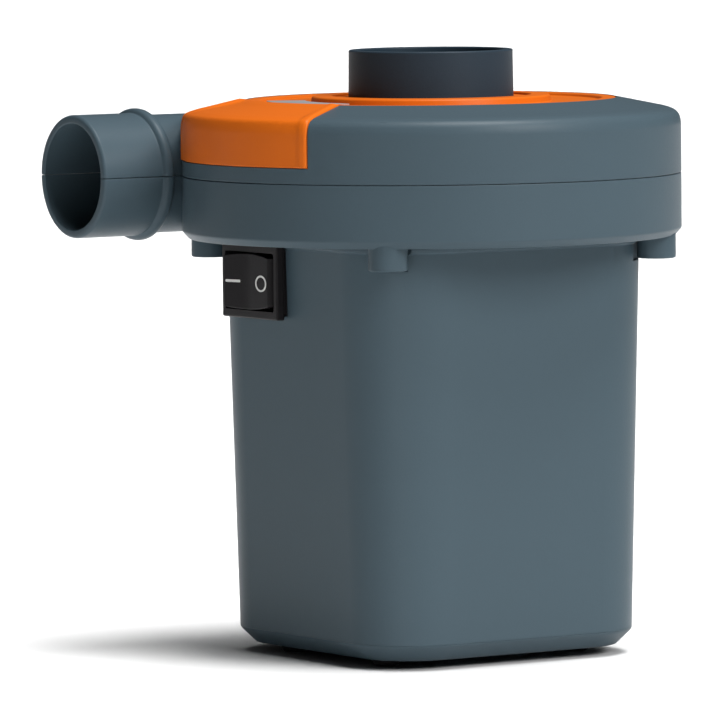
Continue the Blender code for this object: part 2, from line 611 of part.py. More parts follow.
def make_battery():
    """Four cells in series, the bulkhead over them and its contacts, springs and leads."""
    places = ((1, 1), (-1, 1), (-1, -1), (1, -1))
    for number, (sign_x, sign_y) in enumerate(places, start=1):
        nub_up = number % 2 == 1
        low = HIGH_CELL if nub_up else LOW_CELL
        make_cell(number, sign_x * CELL_OFFSET, sign_y * CELL_OFFSET, low, nub_up)

    bulkhead = loft("contact_bulkhead", [
        (BULKHEAD_BOTTOM, 36.0 * MM, 15.4 * MM), (BULKHEAD_TOP, 36.0 * MM, 15.4 * MM),
    ], BLACK)
    high = BULKHEAD_BOTTOM - GAP
    low = high - PLATE_THICKNESS
    block("top_bridge_contact", (-CELL_OFFSET - 6 * MM, -CELL_OFFSET - 7 * MM, low),
          (-CELL_OFFSET + 6 * MM, CELL_OFFSET + 7 * MM, high), STEEL)
    for word, sign in (("positive", 1), ("negative", -1)):
        y = sign * CELL_OFFSET
        plate = block(f"{word}_contact", (CELL_OFFSET - 6 * MM, y - 6 * MM, low),
                      (CELL_OFFSET + 6 * MM, y + 6 * MM, high), STEEL)
        tab_low = (CELL_OFFSET + 3 * MM, y - 2 * MM, low + 0.1 * MM)
        tab_high = (CELL_OFFSET + 3.6 * MM, y + 2 * MM, BULKHEAD_TOP + 4 * MM)
        join(plate, block(f"{word}_tab", tab_low, tab_high))
        cut(bulkhead, block(f"{word}_slot", (tab_low[0] - 0.4 * MM, tab_low[1] - 0.4 * MM, 72 * MM),
                            (tab_high[0] + 0.4 * MM, tab_high[1] + 0.4 * MM, 76 * MM)))
    spring_low = LOW_CELL + CELL_LENGTH + GAP
    make_spring("top_spring_back", -CELL_OFFSET, CELL_OFFSET, spring_low, -1)
    make_spring("top_spring_front", CELL_OFFSET, -CELL_OFFSET, spring_low, -1)

    lead = 0.7 * MM
    wire("positive_lead", [(21.9 * MM, 17.35 * MM, 78 * MM), (22.6 * MM, 19 * MM, 82 * MM),
                           (16 * MM, 24 * MM, 84 * MM), (0, 27 * MM, 84 * MM), (-14 * MM, 24 * MM, 84 * MM),
                           (-20 * MM, 19 * MM, 84.4 * MM), (-22.2 * MM, 16.4 * MM, 85.2 * MM)], lead, RED)
    wire("switch_lead", [(-22.2 * MM, 8.4 * MM, 85.2 * MM), (-19.5 * MM, 8 * MM, 83.4 * MM),
                         (-17.5 * MM, 6 * MM, 80 * MM), (-13.6 * MM, 2 * MM, 76.6 * MM),
                         (-9.6 * MM, 0, 75.85 * MM)], lead * 0.7, RED)
    wire("negative_lead", [(21.9 * MM, -17.35 * MM, 78 * MM), (22.2 * MM, -13 * MM, 80 * MM),
                           (19 * MM, -6 * MM, 79 * MM), (13.6 * MM, -1 * MM, 76.8 * MM),
                           (9.6 * MM, 0, 75.85 * MM)], lead * 0.7, BLACK)


def make_switch():
    """The rocker switch: bezel and body in one, two terminals, and the rocker on its pivot."""
    front = SWITCH_X - 0.4 * MM - BEZEL_PROUD
    bezel = block("switch_bezel",
                  (front, SWITCH_Y - BEZEL_HALF_LENGTH, SWITCH_Z - BEZEL_HALF_HEIGHT),
                  (SWITCH_X - 0.65 * MM, SWITCH_Y + BEZEL_HALF_LENGTH, SWITCH_Z + BEZEL_HALF_HEIGHT), BLACK)
    back = SWITCH_X + SWITCH_DEPTH
    join(bezel, block("switch_box",
                      (SWITCH_X - MM, SWITCH_Y - SWITCH_HALF_LENGTH, SWITCH_Z - SWITCH_HALF_HEIGHT),
                      (back, SWITCH_Y + SWITCH_HALF_LENGTH, SWITCH_Z + SWITCH_HALF_HEIGHT)))
    cut(bezel, block("switch_inside",
                     (front - MM, SWITCH_Y - ROCKER_REACH - 0.4 * MM, SWITCH_Z - ROCKER_HALF_HEIGHT - GAP),
                     (back - 1.2 * MM, SWITCH_Y + ROCKER_REACH + 0.4 * MM, SWITCH_Z + ROCKER_HALF_HEIGHT + GAP)))
    pivot_x = SWITCH_X + ROCKER_PIVOT_DEPTH
    pivot_hole = cylinder("pivot_hole", 1.15 * MM, SWITCH_Z - 8 * MM, SWITCH_Z + 8 * MM)
    cut(bezel, at(pivot_hole, pivot_x, SWITCH_Y))

    # The rocker's outline about its pivot: u runs along +Y, and out is the distance outwards along -X.
    travel = math.radians(ROCKER_TRAVEL)
    low_end = math.acos(ROCKER_RISE / ROCKER_REACH)
    high_end = travel - math.acos(ROCKER_RISE * math.cos(travel) / ROCKER_REACH)
    back_end = math.radians(110)
    outline = [(0.0, ROCKER_RISE)]
    arc_steps = 6
    for step in range(arc_steps + 1):
        angle = high_end - (back_end + high_end) * step / arc_steps
        outline.append((-ROCKER_REACH * math.sin(angle), ROCKER_REACH * math.cos(angle)))
    for step in range(arc_steps + 1):
        angle = back_end + (low_end - back_end) * step / arc_steps
        outline.append((-ROCKER_REACH * math.sin(angle), ROCKER_REACH * math.cos(angle)))
    rocker = prism("switch_rocker", [(-out, u) for u, out in outline],
                   -ROCKER_HALF_HEIGHT, ROCKER_HALF_HEIGHT, BLACK)
    at(rocker, pivot_x, SWITCH_Y, SWITCH_Z)
    join(rocker, at(cylinder("pivot_stub", PIN_RADIUS, -7.1 * MM, 7.1 * MM), pivot_x, SWITCH_Y, SWITCH_Z))

    for number, y in enumerate((SWITCH_Y + 4 * MM, SWITCH_Y - 4 * MM), start=1):
        block(f"switch_terminal_{number}", (back + GAP, y - 2.4 * MM, SWITCH_Z - 0.4 * MM),
              (back + 3.6 * MM, y + 2.4 * MM, SWITCH_Z + 0.4 * MM), BRASS)


def make_motor():
    """The motor that hangs in the lower volute's well."""
    can = turned("motor_can", [
        (2.6 * MM, 107.4 * MM), (3.5 * MM, 107.4 * MM), (3.5 * MM, CAN_TOP), (CAN_RADIUS, CAN_TOP),
        (CAN_RADIUS, CAN_BOTTOM), (CAN_RADIUS - CAN_WALL, CAN_BOTTOM),
        (CAN_RADIUS - CAN_WALL, CAN_TOP - CAN_WALL), (2.6 * MM, CAN_TOP - CAN_WALL),
    ], STEEL, MEDIUM)
    for sign, word in ((1, "back"), (-1, "front")):
        hole = at(cylinder(f"can_hole_{word}", 1.1 * MM, 103 * MM, 109 * MM), 0, sign * 7 * MM)
        cut(can, hole)
        screw = turned(f"motor_screw_{word}", [
            (0, 108.4 * MM), (1.4 * MM, 108.4 * MM), (1.8 * MM, 108.1 * MM), (1.8 * MM, 107.4 * MM),
            (0.8 * MM, 107.4 * MM), (0.8 * MM, 104 * MM), (0, 104 * MM),
        ], STEEL, 12)
        at(screw, 0, sign * 7 * MM)
    turned("motor_end_cap", [
        (2.6 * MM, 79.9 * MM), (10.9 * MM, 79.9 * MM), (10.9 * MM, CAN_BOTTOM - GAP),
        (CAN_RADIUS, CAN_BOTTOM - GAP), (CAN_RADIUS, 76.9 * MM), (2.6 * MM, 76.9 * MM),
    ], WHITE, MEDIUM)
    tube("front_bearing", 2.3 * MM, BUSH_BORE, 104.8 * MM, 107.2 * MM, BRASS, 24)
    tube("rear_bearing", 2.3 * MM, BUSH_BORE, 77.0 * MM, 79.6 * MM, BRASS, 24)
    tube("motor_rubber_ring", 14.9 * MM, 12.5 * MM, 80.0 * MM, 83.7 * MM, RUBBER, MEDIUM)
    for sign, word in ((1, "right"), (-1, "left")):
        sector(f"magnet_{word}", [
            (8.9 * MM, 102 * MM), (10.9 * MM, 102 * MM), (10.9 * MM, 86 * MM), (8.9 * MM, 86 * MM),
        ], (-65 if sign > 0 else 115), 130, FERRITE)
        low_x, high_x = sorted((sign * 3.4 * MM, sign * 8.4 * MM))
        block(f"brush_{word}", (low_x, -1.6 * MM, 80.7 * MM), (high_x, 1.6 * MM, 83.7 * MM), CARBON)


def make_rotor():
    """Everything that spins: the impeller, its brass insert, the shaft and the wound armature."""
    cylinder("motor_shaft", SHAFT_RADIUS, 76.2 * MM, 119 * MM, STEEL, 24)
    disc_top = IMPELLER_BOTTOM + IMPELLER_DISC
    impeller = turned("impeller", [
        (2.9 * MM, 118 * MM), (4.6 * MM, 118 * MM), (5.4 * MM, disc_top), (IMPELLER_RADIUS, disc_top),
        (IMPELLER_RADIUS, IMPELLER_BOTTOM), (2.9 * MM, IMPELLER_BOTTOM),
    ], WHITE, 36)
    for number in range(BLADE_COUNT):
        path = []
        for step in range(5):
            part = step / 4
            path.append(polar((13 + 23.6 * part) * MM, 360 * number / BLADE_COUNT - 38 * part ** 0.9))
        join(impeller, strip(f"blade_{number}", path, 1.2 * MM, disc_top - 0.4 * MM, BLADE_TOP))
    tube("impeller_insert", 2.6 * MM, 1.3 * MM, 110 * MM, 117.6 * MM, BRASS)

    low, high = 88 * MM, 100 * MM
    core = tube("armature_core", 3.2 * MM, 1.3 * MM, low, high, STEEL, 24)
    tube("commutator", 3.0 * MM, 1.3 * MM, 80.2 * MM, 84.4 * MM, COPPER, 24)
    for number, degrees in enumerate(POLE_ANGLES, start=1):
        turn = (0, 0, math.radians(degrees))
        arm = block(f"arm_{number}", (2.6 * MM, -1.5 * MM, low), (7.4 * MM, 1.5 * MM, high))
        arm.rotation_euler = turn
        shoe = sector(f"shoe_{number}", [
            (6.9 * MM, high), (8.2 * MM, high), (8.2 * MM, low), (6.9 * MM, low),
        ], degrees - 42, 84)
        join(core, arm, shoe)
        winding = block(f"winding_{number}", (3.9 * MM, -3.0 * MM, low - 1.8 * MM),
                        (5.9 * MM, 3.0 * MM, high + 1.8 * MM), COPPER)
        hole = block(f"winding_hole_{number}", (3 * MM, -1.8 * MM, low - GAP), (7.5 * MM, 1.8 * MM, high + GAP))
        winding.rotation_euler = turn
        hole.rotation_euler = turn
        cut(winding, hole)


make_volute()
make_top()
make_housing()
make_door()
make_battery()
make_switch()
make_motor()
make_rotor()
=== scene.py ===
"""Detailed pieces, finishes and stage for the battery air mattress pump.

It is laid out as a Blender add-on and is run as a script. Every length is in metres, and every piece is made
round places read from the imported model.
"""

import json
import math

import bmesh
import bpy
from bpy.props import FloatProperty, FloatVectorProperty, IntProperty, PointerProperty
from bpy.types import Operator, Panel, PropertyGroup
from mathutils import Matrix, Vector


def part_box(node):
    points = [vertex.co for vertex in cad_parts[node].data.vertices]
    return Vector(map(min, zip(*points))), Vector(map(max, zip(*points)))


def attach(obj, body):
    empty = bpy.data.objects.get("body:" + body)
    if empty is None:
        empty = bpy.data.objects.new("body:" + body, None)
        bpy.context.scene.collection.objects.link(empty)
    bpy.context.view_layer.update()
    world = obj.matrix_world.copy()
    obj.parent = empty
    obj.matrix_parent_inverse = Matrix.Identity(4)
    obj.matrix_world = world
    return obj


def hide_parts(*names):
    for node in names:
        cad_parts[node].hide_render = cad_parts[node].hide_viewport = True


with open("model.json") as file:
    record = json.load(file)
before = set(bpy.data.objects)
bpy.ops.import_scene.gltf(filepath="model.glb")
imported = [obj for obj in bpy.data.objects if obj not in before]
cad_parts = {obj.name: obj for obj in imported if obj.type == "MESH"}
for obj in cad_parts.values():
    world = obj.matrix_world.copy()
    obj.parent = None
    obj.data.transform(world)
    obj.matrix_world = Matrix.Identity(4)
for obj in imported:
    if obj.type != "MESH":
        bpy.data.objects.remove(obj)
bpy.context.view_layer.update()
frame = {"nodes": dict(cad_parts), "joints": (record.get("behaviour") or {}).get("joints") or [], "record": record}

bl_info = {
    "name": "Air Mattress Pump",
    "version": (1, 0, 0),
    "blender": (4, 5, 0),
    "location": "View3D > Sidebar > Pump",
    "description": "Builds the pieces, finishes and stage of a battery air mattress pump",
    "category": "Object",
}

MM = 0.001


def mm(*values):
    """Values given in millimetres, as metres."""
    return tuple(value * MM for value in values)


def joint_place(name):
    """Where a joint turns, in the model's frame."""
    return next(Vector(joint["pos_m"]) for joint in frame["joints"] if joint["name"] == name)


def low(node):
    """The lowest corner of a CAD node."""
    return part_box(node)[0]


def high(node):
    """The highest corner of a CAD node."""
    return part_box(node)[1]


# Places read from the model
AXIS = joint_place("impeller_spin") * Vector((1, 1, 0))
SWITCH = joint_place("rocker_tilt") - AXIS
HINGE = joint_place("battery_door_hinge") - AXIS
SEAM = (high("lower_volute").z + low("upper_volute").z) / 2
LID_RADIUS = high("lower_volute").x - AXIS.x
LID_LOW = high("battery_housing").z + 0.3 * MM
CONE_TOP = high("upper_volute").z
NOZZLE_TIP = AXIS.x - low("lower_volute").x
PORT_TOP = high("inlet_port").z
DOOR_LOW = low("battery_door").z
HOUSING_HIGH = high("battery_housing").z
RIM_HALF = high("battery_housing").x - AXIS.x

# Fan housing
LID_WALL = 2.2 * MM
LID_FLOOR = LID_LOW + 2.0 * MM
CONE_INNER = 42.1 * MM
CONE_OUTER = 54.0 * MM
CONE_EDGE = 123.1 * MM
SHOULDER_LOW = 120.4 * MM
CEILING = 121.6 * MM
SEAT = 123.6 * MM
THROAT = 17.0 * MM
SEAM_GAP = 0.1 * MM
FLANGE_RADIUS = 14.95 * MM
NOZZLE_RADIUS = 13.9 * MM
ROOT_RADIUS = 13.4 * MM
NOZZLE_BORE = 12.0 * MM
NOZZLE_Y = high("upper_volute").y - AXIS.y - FLANGE_RADIUS
BOSS_DISTANCE = 51.4 * MM
BOSS_RADIUS = 4.4 * MM
BOSS_LOW = 89.5 * MM
POCKET_RADIUS = 5.9 * MM
POCKET_FLOOR = 89.0 * MM
CORNER_ANGLES = (45, 135, 225, 315)
SHARP_ANGLE = 32

# Trim
TRIM_RADIUS = 41.8 * MM
TONGUE_START = 149.5
TONGUE_SWEEP = 57.5
TONGUE_LOW = 112.2 * MM
PORT_RADIUS = 18.7 * MM
PORT_BORE = 16.4 * MM


# ---- sizes and colours a user may change

def length_setting(name, description, default, **limits):
    """A length that a user may change."""
    return FloatProperty(name=name, description=description, default=default, unit="LENGTH", **limits)


def angle_setting(name, description, degrees):
    """An angle that a user may change."""
    return FloatProperty(
        name=name, description=description, default=math.radians(degrees), subtype="ANGLE", unit="ROTATION")


def colour_setting(name, description, default):
    """A colour that a user may change."""
    return FloatVectorProperty(name=name, description=description, subtype="COLOR", default=default)


class PumpSizes(PropertyGroup):
    """Sizes of the small details"""

    turn_steps: IntProperty(
        name="Turn steps", description="Steps in one full turn of a large round piece",
        default=144, min=48, max=288)
    seam_round: length_setting(
        "Seam round", "Rounding of the edges along the fan housing's seam", 0.22 * MM, min=0.0)
    tongue_proud: length_setting(
        "Tongue height", "How far the trim's tongue stands above the cone", 0.35 * MM, min=0.0)
    mark_depth: length_setting("Mark height", "How far the rocker's marks stand proud", 0.06 * MM, min=0.0)


class PumpColours(PropertyGroup):
    """Colours of the finishes"""

    slate: colour_setting("Slate", "Moulded body plastic", (0.045, 0.068, 0.083))
    orange: colour_setting("Orange", "Moulded trim plastic", (0.52, 0.105, 0.006))
    charcoal: colour_setting("Charcoal", "Inlet port plastic", (0.019, 0.032, 0.045))
    black: colour_setting("Black", "Switch plastic", (0.012, 0.011, 0.012))
    mark: colour_setting("Mark", "Paint of the rocker's marks", (0.62, 0.62, 0.6))
    floor: colour_setting("Floor", "Studio floor", (0.6, 0.6, 0.6))


class PumpStage(PropertyGroup):
    """Camera and light"""

    azimuth: angle_setting("Azimuth", "Turn of the camera round the pump", 33.5)
    distance: length_setting("Distance", "Level distance from the pump's axis to the camera", 1.82)
    eye: length_setting("Height", "Height of the camera over the floor", 0.198)
    aim: length_setting("Aim height", "Height of the point in the middle of the view", 0.0663)
    aside: length_setting("Aside", "How far left of the axis the view is centred", 0.0166)
    roll: angle_setting("Roll", "Tilt of the camera about its view", -0.53)
    lens: FloatProperty(name="Lens", description="Focal length in millimetres", default=402.5)


# ---- finishes

class Value:
    """A shader socket that takes part in ordinary sums."""

    def __init__(self, finish, socket):
        self.finish = finish
        self.socket = socket

    def sum(self, operation, first, second):
        node = self.finish.node("ShaderNodeMath", {"operation": operation}, {0: first, 1: second})
        return self.finish.read(node)

    def __add__(self, other):
        return self.sum("ADD", self, other)

    def __sub__(self, other):
        return self.sum("SUBTRACT", self, other)

    def __rsub__(self, other):
        return self.sum("SUBTRACT", other, self)

    def __mul__(self, other):
        return self.sum("MULTIPLY", self, other)

    __radd__ = __add__
    __rmul__ = __mul__


class Finish:
    """A material, with short ways to add nodes to it."""

    def __init__(self, name, **constants):
        self.material = bpy.data.materials.new(f"{name}_finish")
        self.material.use_nodes = True
        self.tree = self.material.node_tree
        self.shader = self.tree.nodes["Principled BSDF"]
        for socket, value in constants.items():
            self.put(self.shader.inputs[socket.replace("_", " ")], value)

    def put(self, socket, value):
        """A value or a link into a socket."""
        if isinstance(value, Value):
            self.tree.links.new(value.socket, socket)
        else:
            socket.default_value = value

    def node(self, kind, settings=None, sockets=None):
        """A node with its settings, a ramp's stops among them, and then its sockets."""
        node = self.tree.nodes.new(kind)
        for key, value in (settings or {}).items():
            if key == "stops":
                ramp = node.color_ramp.elements
                while len(ramp) < len(value):
                    ramp.new(0.5)
                for stop, (place, colour) in zip(ramp, value):
                    stop.position = place
                    stop.color = colour
            else:
                setattr(node, key, value)
        for key, value in (sockets or {}).items():
            self.put(node.inputs[key], value)
        return node

    def read(self, node, output=0):
        """A node's output, to use in a sum or a socket."""
        return Value(self, node.outputs[output])

    def surface(self, **sockets):
        """What the shader's sockets are fed with."""
        for socket, value in sockets.items():
            self.put(self.shader.inputs[socket.replace("_", " ")], value)

    def place(self, scale=(1, 1, 1)):
        """Object coordinates, stretched."""
        coordinates = self.read(self.node("ShaderNodeTexCoord"), "Object")
        return self.read(self.node("ShaderNodeMapping", None, {"Vector": coordinates, "Scale": scale}))

    def noise(self, place, scale, detail=2.0, roughness=0.5, distortion=0.0):
        """Soft noise from 0 to 1."""
        return self.read(self.node("ShaderNodeTexNoise", None, {
            "Vector": place, "Scale": scale, "Detail": detail, "Roughness": roughness,
            "Distortion": distortion}))

    def cells(self, place, scale):
        """Distance to the nearest of scattered points."""
        return self.read(self.node("ShaderNodeTexVoronoi", None, {"Vector": place, "Scale": scale}))

    def ease(self, value, start, end):
        """A smooth step from 0 to 1 between two limits of the value."""
        return self.read(self.node("ShaderNodeMapRange", {"interpolation_type": "SMOOTHSTEP"}, {
            "Value": value, "From Min": start, "From Max": end}))

    def blend(self, factor, first, second):
        """One colour blended over another."""
        node = self.node("ShaderNodeMix", {"data_type": "RGBA"}, {0: factor, 6: first, 7: second})
        return self.read(node, 2)

    def bump(self, height, distance):
        """A bumped normal."""
        return self.read(self.node("ShaderNodeBump", None, {
            "Height": height, "Distance": distance, "Strength": 1.0}))

    def height(self):
        """Height over the floor."""
        coordinates = self.read(self.node("ShaderNodeTexCoord"), "Object")
        split = self.node("ShaderNodeSeparateXYZ", None, {0: coordinates})
        return self.read(split, "Z")


def shade(colour, factor):
    """A colour made lighter or darker, with its alpha."""
    return (*(min(1.0, channel * factor) for channel in colour), 1.0)


def moulded_plastic(name, colour, roughness=0.45, grain=2600.0, grain_depth=0.012 * MM, cloud=0.05,
                    speck=0.06, gloss=0.12):
    """Injection-moulded plastic from a spark-eroded tool: fine grain, faint flow clouds and specks."""
    finish = Finish(name, Specular_IOR_Level=gloss)
    place = finish.place()
    fine = finish.noise(place, grain, 3.0, 0.62)
    pits = finish.cells(place, grain * 0.55)
    broad = finish.noise(place, 26.0, 2.0, 0.5, 0.4)
    flow = finish.noise(finish.place((9.0, 9.0, 60.0)), 1.0, 2.0)
    tone = (broad - 0.5) * cloud * 2 + (flow - 0.5) * cloud + (fine - 0.5) * speck * 2 + 0.5
    finish.surface(
        Base_Color=finish.blend(tone, shade(colour, 0.72), shade(colour, 1.28)),
        Roughness=roughness + (fine - 0.5) * 0.16 + (broad - 0.5) * 0.08,
        Normal=finish.bump(fine + pits * 0.6, grain_depth),
    )
    return finish.material


def brushed_metal(name, colour, roughness=0.32, stretch=(1, 1, 1), line_scale=1800.0, metallic=1.0):
    """Rolled or drawn metal with fine lines one way and faint handling marks."""
    finish = Finish(name)
    lines = finish.noise(finish.place(stretch), line_scale, 3.0, 0.6)
    smear = finish.noise(finish.place(), 140.0, 2.0)
    finish.surface(
        Metallic=metallic,
        Base_Color=finish.blend(lines * 0.5 + smear * 0.5, shade(colour, 0.8), shade(colour, 1.12)),
        Roughness=roughness + (lines - 0.5) * 0.22 + (smear - 0.5) * 0.12,
        Normal=finish.bump(lines, 0.006 * MM),
    )
    return finish.material


def sintered(name, colour, roughness=0.75):
    """Pressed powder, as in magnets and brushes: a dull open grain."""
    finish = Finish(name)
    place = finish.place()
    grain = finish.noise(place, 3800.0, 4.0, 0.7)
    pits = finish.ease(finish.cells(place, 1500.0), 0.0, 0.25)
    finish.surface(
        Base_Color=finish.blend(grain * 0.6 + pits * 0.4, shade(colour, 0.6), shade(colour, 1.3)),
        Roughness=roughness - pits * 0.08,
        Normal=finish.bump(grain + pits, 0.02 * MM),
    )
    return finish.material


def wound_wire(name, colour):
    """Enamelled wire laid side by side."""
    finish = Finish(name, Coat_Weight=0.4, Coat_Roughness=0.2)
    wave = finish.read(finish.node("ShaderNodeTexWave", {"bands_direction": "Z"}, {
        "Vector": finish.place(), "Scale": 700.0, "Distortion": 0.6, "Detail": 1.0}), "Fac")
    spread = finish.noise(finish.place(), 400.0)
    finish.surface(
        Metallic=0.85,
        Base_Color=finish.blend(wave * 0.7 + spread * 0.3, shade(colour, 0.35), shade(colour, 1.2)),
        Roughness=0.3 + spread * 0.1,
        Normal=finish.bump(wave, 0.08 * MM),
    )
    return finish.material


def soft_rubber(name, colour):
    """Moulded rubber with a dusty bloom."""
    finish = Finish(name)
    place = finish.place()
    bloom = finish.noise(place, 320.0, 3.0, 0.6)
    grain = finish.noise(place, 3000.0, 2.0)
    finish.surface(
        Base_Color=finish.blend(bloom, shade(colour, 0.7), shade(colour, 1.8)),
        Roughness=0.72 + bloom * 0.2,
        Normal=finish.bump(grain, 0.015 * MM),
    )
    return finish.material


def cell_jacket(name):
    """A cell's printed film: a dark lower part and a copper-toned upper band, with no words."""
    finish = Finish(name, Coat_Weight=0.5, Coat_Roughness=0.12)
    tall = finish.height()
    band = finish.ease(tall, 52.6 * MM, 52.9 * MM)
    stripe = finish.ease(tall, 50.9 * MM, 51.1 * MM) * (1 - finish.ease(tall, 51.9 * MM, 52.1 * MM))
    scuff = finish.noise(finish.place((1, 1, 0.3)), 260.0, 3.0, 0.6)
    dark = finish.blend(scuff, (0.012, 0.02, 0.032, 1), (0.03, 0.045, 0.06, 1))
    warm = finish.blend(scuff, (0.42, 0.2, 0.06, 1), (0.6, 0.3, 0.1, 1))
    finish.surface(
        Base_Color=finish.blend(stripe, finish.blend(band, dark, warm), (0.7, 0.7, 0.68, 1)),
        Metallic=0.35 + band * 0.4,
        Roughness=0.3 + scuff * 0.12,
        Normal=finish.bump(finish.noise(finish.place(), 90.0, 2.0), 0.03 * MM),
    )
    return finish.material


def printed_mark(name, colour):
    """Pad-printed paint, slightly uneven."""
    finish = Finish(name)
    spread = finish.noise(finish.place(), 1600.0, 3.0, 0.6)
    finish.surface(
        Base_Color=finish.blend(spread, shade(colour, 0.82), shade(colour, 1.1)),
        Roughness=0.5 + spread * 0.1,
        Normal=finish.bump(spread, 0.01 * MM),
    )
    return finish.material


def make_finishes(colours):
    """Every finish, by the name of the record's material slot."""
    return {
        "slate_plastic": moulded_plastic("slate_plastic", colours.slate, 0.4),
        "orange_plastic": moulded_plastic("orange_plastic", colours.orange, 0.4, 2300.0, 0.009 * MM,
                                          0.03, 0.03),
        "charcoal_plastic": moulded_plastic("charcoal_plastic", colours.charcoal, 0.42, 2100.0,
                                            0.016 * MM, 0.05, 0.1),
        "black_plastic": moulded_plastic("black_plastic", colours.black, 0.42, 3000.0, 0.014 * MM,
                                         0.05, 0.12),
        "white_plastic": moulded_plastic("white_plastic", (0.7, 0.7, 0.66), 0.42),
        "silver_label": brushed_metal("silver_label", (0.62, 0.63, 0.65), 0.36, (1, 14, 1), 900.0,
                                      0.75),
        "steel": brushed_metal("steel", (0.55, 0.56, 0.58), 0.3, (1, 1, 6)),
        "cell_jacket": cell_jacket("cell_jacket"),
        "brass": brushed_metal("brass", (0.74, 0.53, 0.24), 0.28, (1, 1, 5)),
        "copper_wire": wound_wire("copper_wire", (0.62, 0.24, 0.1)),
        "carbon": sintered("carbon", (0.035, 0.035, 0.036), 0.6),
        "ferrite": sintered("ferrite", (0.07, 0.07, 0.075)),
        "rubber": soft_rubber("rubber", (0.014, 0.014, 0.015)),
        "red_insulation": moulded_plastic("red_insulation", (0.42, 0.018, 0.016), 0.4, 1800.0,
                                          0.01 * MM),
        "mark": printed_mark("mark_paint", colours.mark),
    }


FINISHES = {}


# ---- ways to shape a piece

def clean(bm, distance=0.002 * MM):
    """Closes seams and poles, and turns every face outwards."""
    bmesh.ops.remove_doubles(bm, verts=bm.verts, dist=distance)
    bmesh.ops.dissolve_degenerate(bm, edges=bm.edges, dist=distance)
    bmesh.ops.recalc_face_normals(bm, faces=bm.faces)


def soften(bm, geom, offset, segments, affect="EDGES", clamp=True):
    """Rounds off edges, or corners where affect is VERTICES."""
    bmesh.ops.bevel(
        bm, geom=geom, offset=offset, offset_type="OFFSET", segments=segments, profile=0.5, affect=affect,
        material=-1, clamp_overlap=clamp)


def section(bm, points, segments=3):
    """A closed section in the XZ plane from (across, up) points; a third number softens that corner."""
    corners = [bm.verts.new((point[0], 0, point[1])) for point in points]
    bm.faces.new(corners)
    for corner, point in zip(corners, points):
        if len(point) > 2:
            soften(bm, [corner], point[2], segments, "VERTICES")
    return bm.faces[:]


def turn(points, steps, segments=3, about=(0, 0)):
    """A full turn of a closed section about an upright line."""
    bm = bmesh.new()
    faces = section(bm, points, segments)
    bmesh.ops.delete(bm, geom=faces, context="FACES_ONLY")
    bmesh.ops.spin(
        bm, geom=bm.verts[:] + bm.edges[:], cent=(0, 0, 0), axis=(0, 0, 1), dvec=(0, 0, 0),
        angle=math.tau, steps=steps, use_merge=True)
    clean(bm)
    bmesh.ops.translate(bm, verts=bm.verts, vec=(*about, 0))
    return bm


def part_turn(points, start, sweep, steps, segments=3):
    """A closed section turned through part of a circle, with angles in degrees."""
    bm = bmesh.new()
    faces = section(bm, points, segments)
    bmesh.ops.rotate(bm, verts=bm.verts, cent=(0, 0, 0), matrix=Matrix.Rotation(math.radians(start), 3, "Z"))
    bmesh.ops.spin(
        bm, geom=faces + bm.edges[:] + bm.verts[:], cent=(0, 0, 0), axis=(0, 0, 1), dvec=(0, 0, 0),
        angle=math.radians(sweep), steps=steps, use_merge=False)
    clean(bm)
    return bm


def block(low_corner, high_corner, edge=0.0, segments=2):
    """A box between two corners, with softened edges."""
    bm = bmesh.new()
    size = [top - bottom for bottom, top in zip(low_corner, high_corner)]
    middle = [(top + bottom) / 2 for bottom, top in zip(low_corner, high_corner)]
    bmesh.ops.create_cube(bm, size=1, matrix=Matrix.Translation(middle) @ Matrix.Diagonal((*size, 1)))
    if edge:
        soften(bm, bm.edges[:], edge, segments)
    return bm


def switch_block(front_x, back_x, half_length, half_height, edge=0.0, segments=2):
    """A box round the middle of the switch."""
    return block((front_x, SWITCH.y - half_length, SWITCH.z - half_height),
                 (back_x, SWITCH.y + half_length, SWITCH.z + half_height), edge, segments)


def rod(radius, low_z, high_z, steps=32, about=(0, 0), edge=0.0):
    """An upright rod with softened ends."""
    soft = (edge,) if edge else ()
    return turn([(0, high_z), (radius, high_z, *soft), (radius, low_z, *soft), (0, low_z)], steps, 2, about)


def square_ring(bm, height, half, corner, steps):
    """The edges of a level square with round corners."""
    made = bmesh.ops.create_grid(bm, x_segments=1, y_segments=1, size=half)["verts"]
    bmesh.ops.translate(bm, verts=made, vec=(0, 0, height))
    before = set(bm.verts) - set(made)
    soften(bm, made, corner, steps, "VERTICES", False)
    ring = [vert for vert in bm.verts if vert not in before]
    faces = {face for vert in ring for face in vert.link_faces}
    edges = {edge for vert in ring for edge in vert.link_edges}
    bmesh.ops.delete(bm, geom=list(faces), context="FACES_ONLY")
    return list(edges)


def square_loft(levels, steps):
    """A skin through rounded squares given as (height, half side, corner), capped at both ends."""
    bm = bmesh.new()
    rings = [square_ring(bm, *level, steps) for level in levels]
    for lower, upper in zip(rings, rings[1:]):
        bmesh.ops.bridge_loops(bm, edges=lower + upper)
    bmesh.ops.edgeloop_fill(bm, edges=rings[0])
    bmesh.ops.edgeloop_fill(bm, edges=rings[-1])
    clean(bm)
    return bm


def moved(bm, x=0.0, y=0.0, z=0.0):
    """The shape, moved."""
    bmesh.ops.translate(bm, verts=bm.verts, vec=(x, y, z))
    return bm


def turned_about(bm, degrees, axis="Z", centre=(0, 0, 0)):
    """The shape, turned about a line."""
    bmesh.ops.rotate(bm, verts=bm.verts, cent=centre, matrix=Matrix.Rotation(math.radians(degrees), 3, axis))
    return bm


def hinge_rod(radius, start, end, steps, edge=0.0):
    """A rod along the door's hinge line."""
    return laid_along_x(rod(radius, start, end, steps, (0, 0), edge), HINGE.y, HINGE.z)


def laid_along_x(bm, y, z):
    """An upright shape laid so that its top points along -X."""
    turned_about(bm, -90, "Y")
    return moved(bm, 0, y, z)


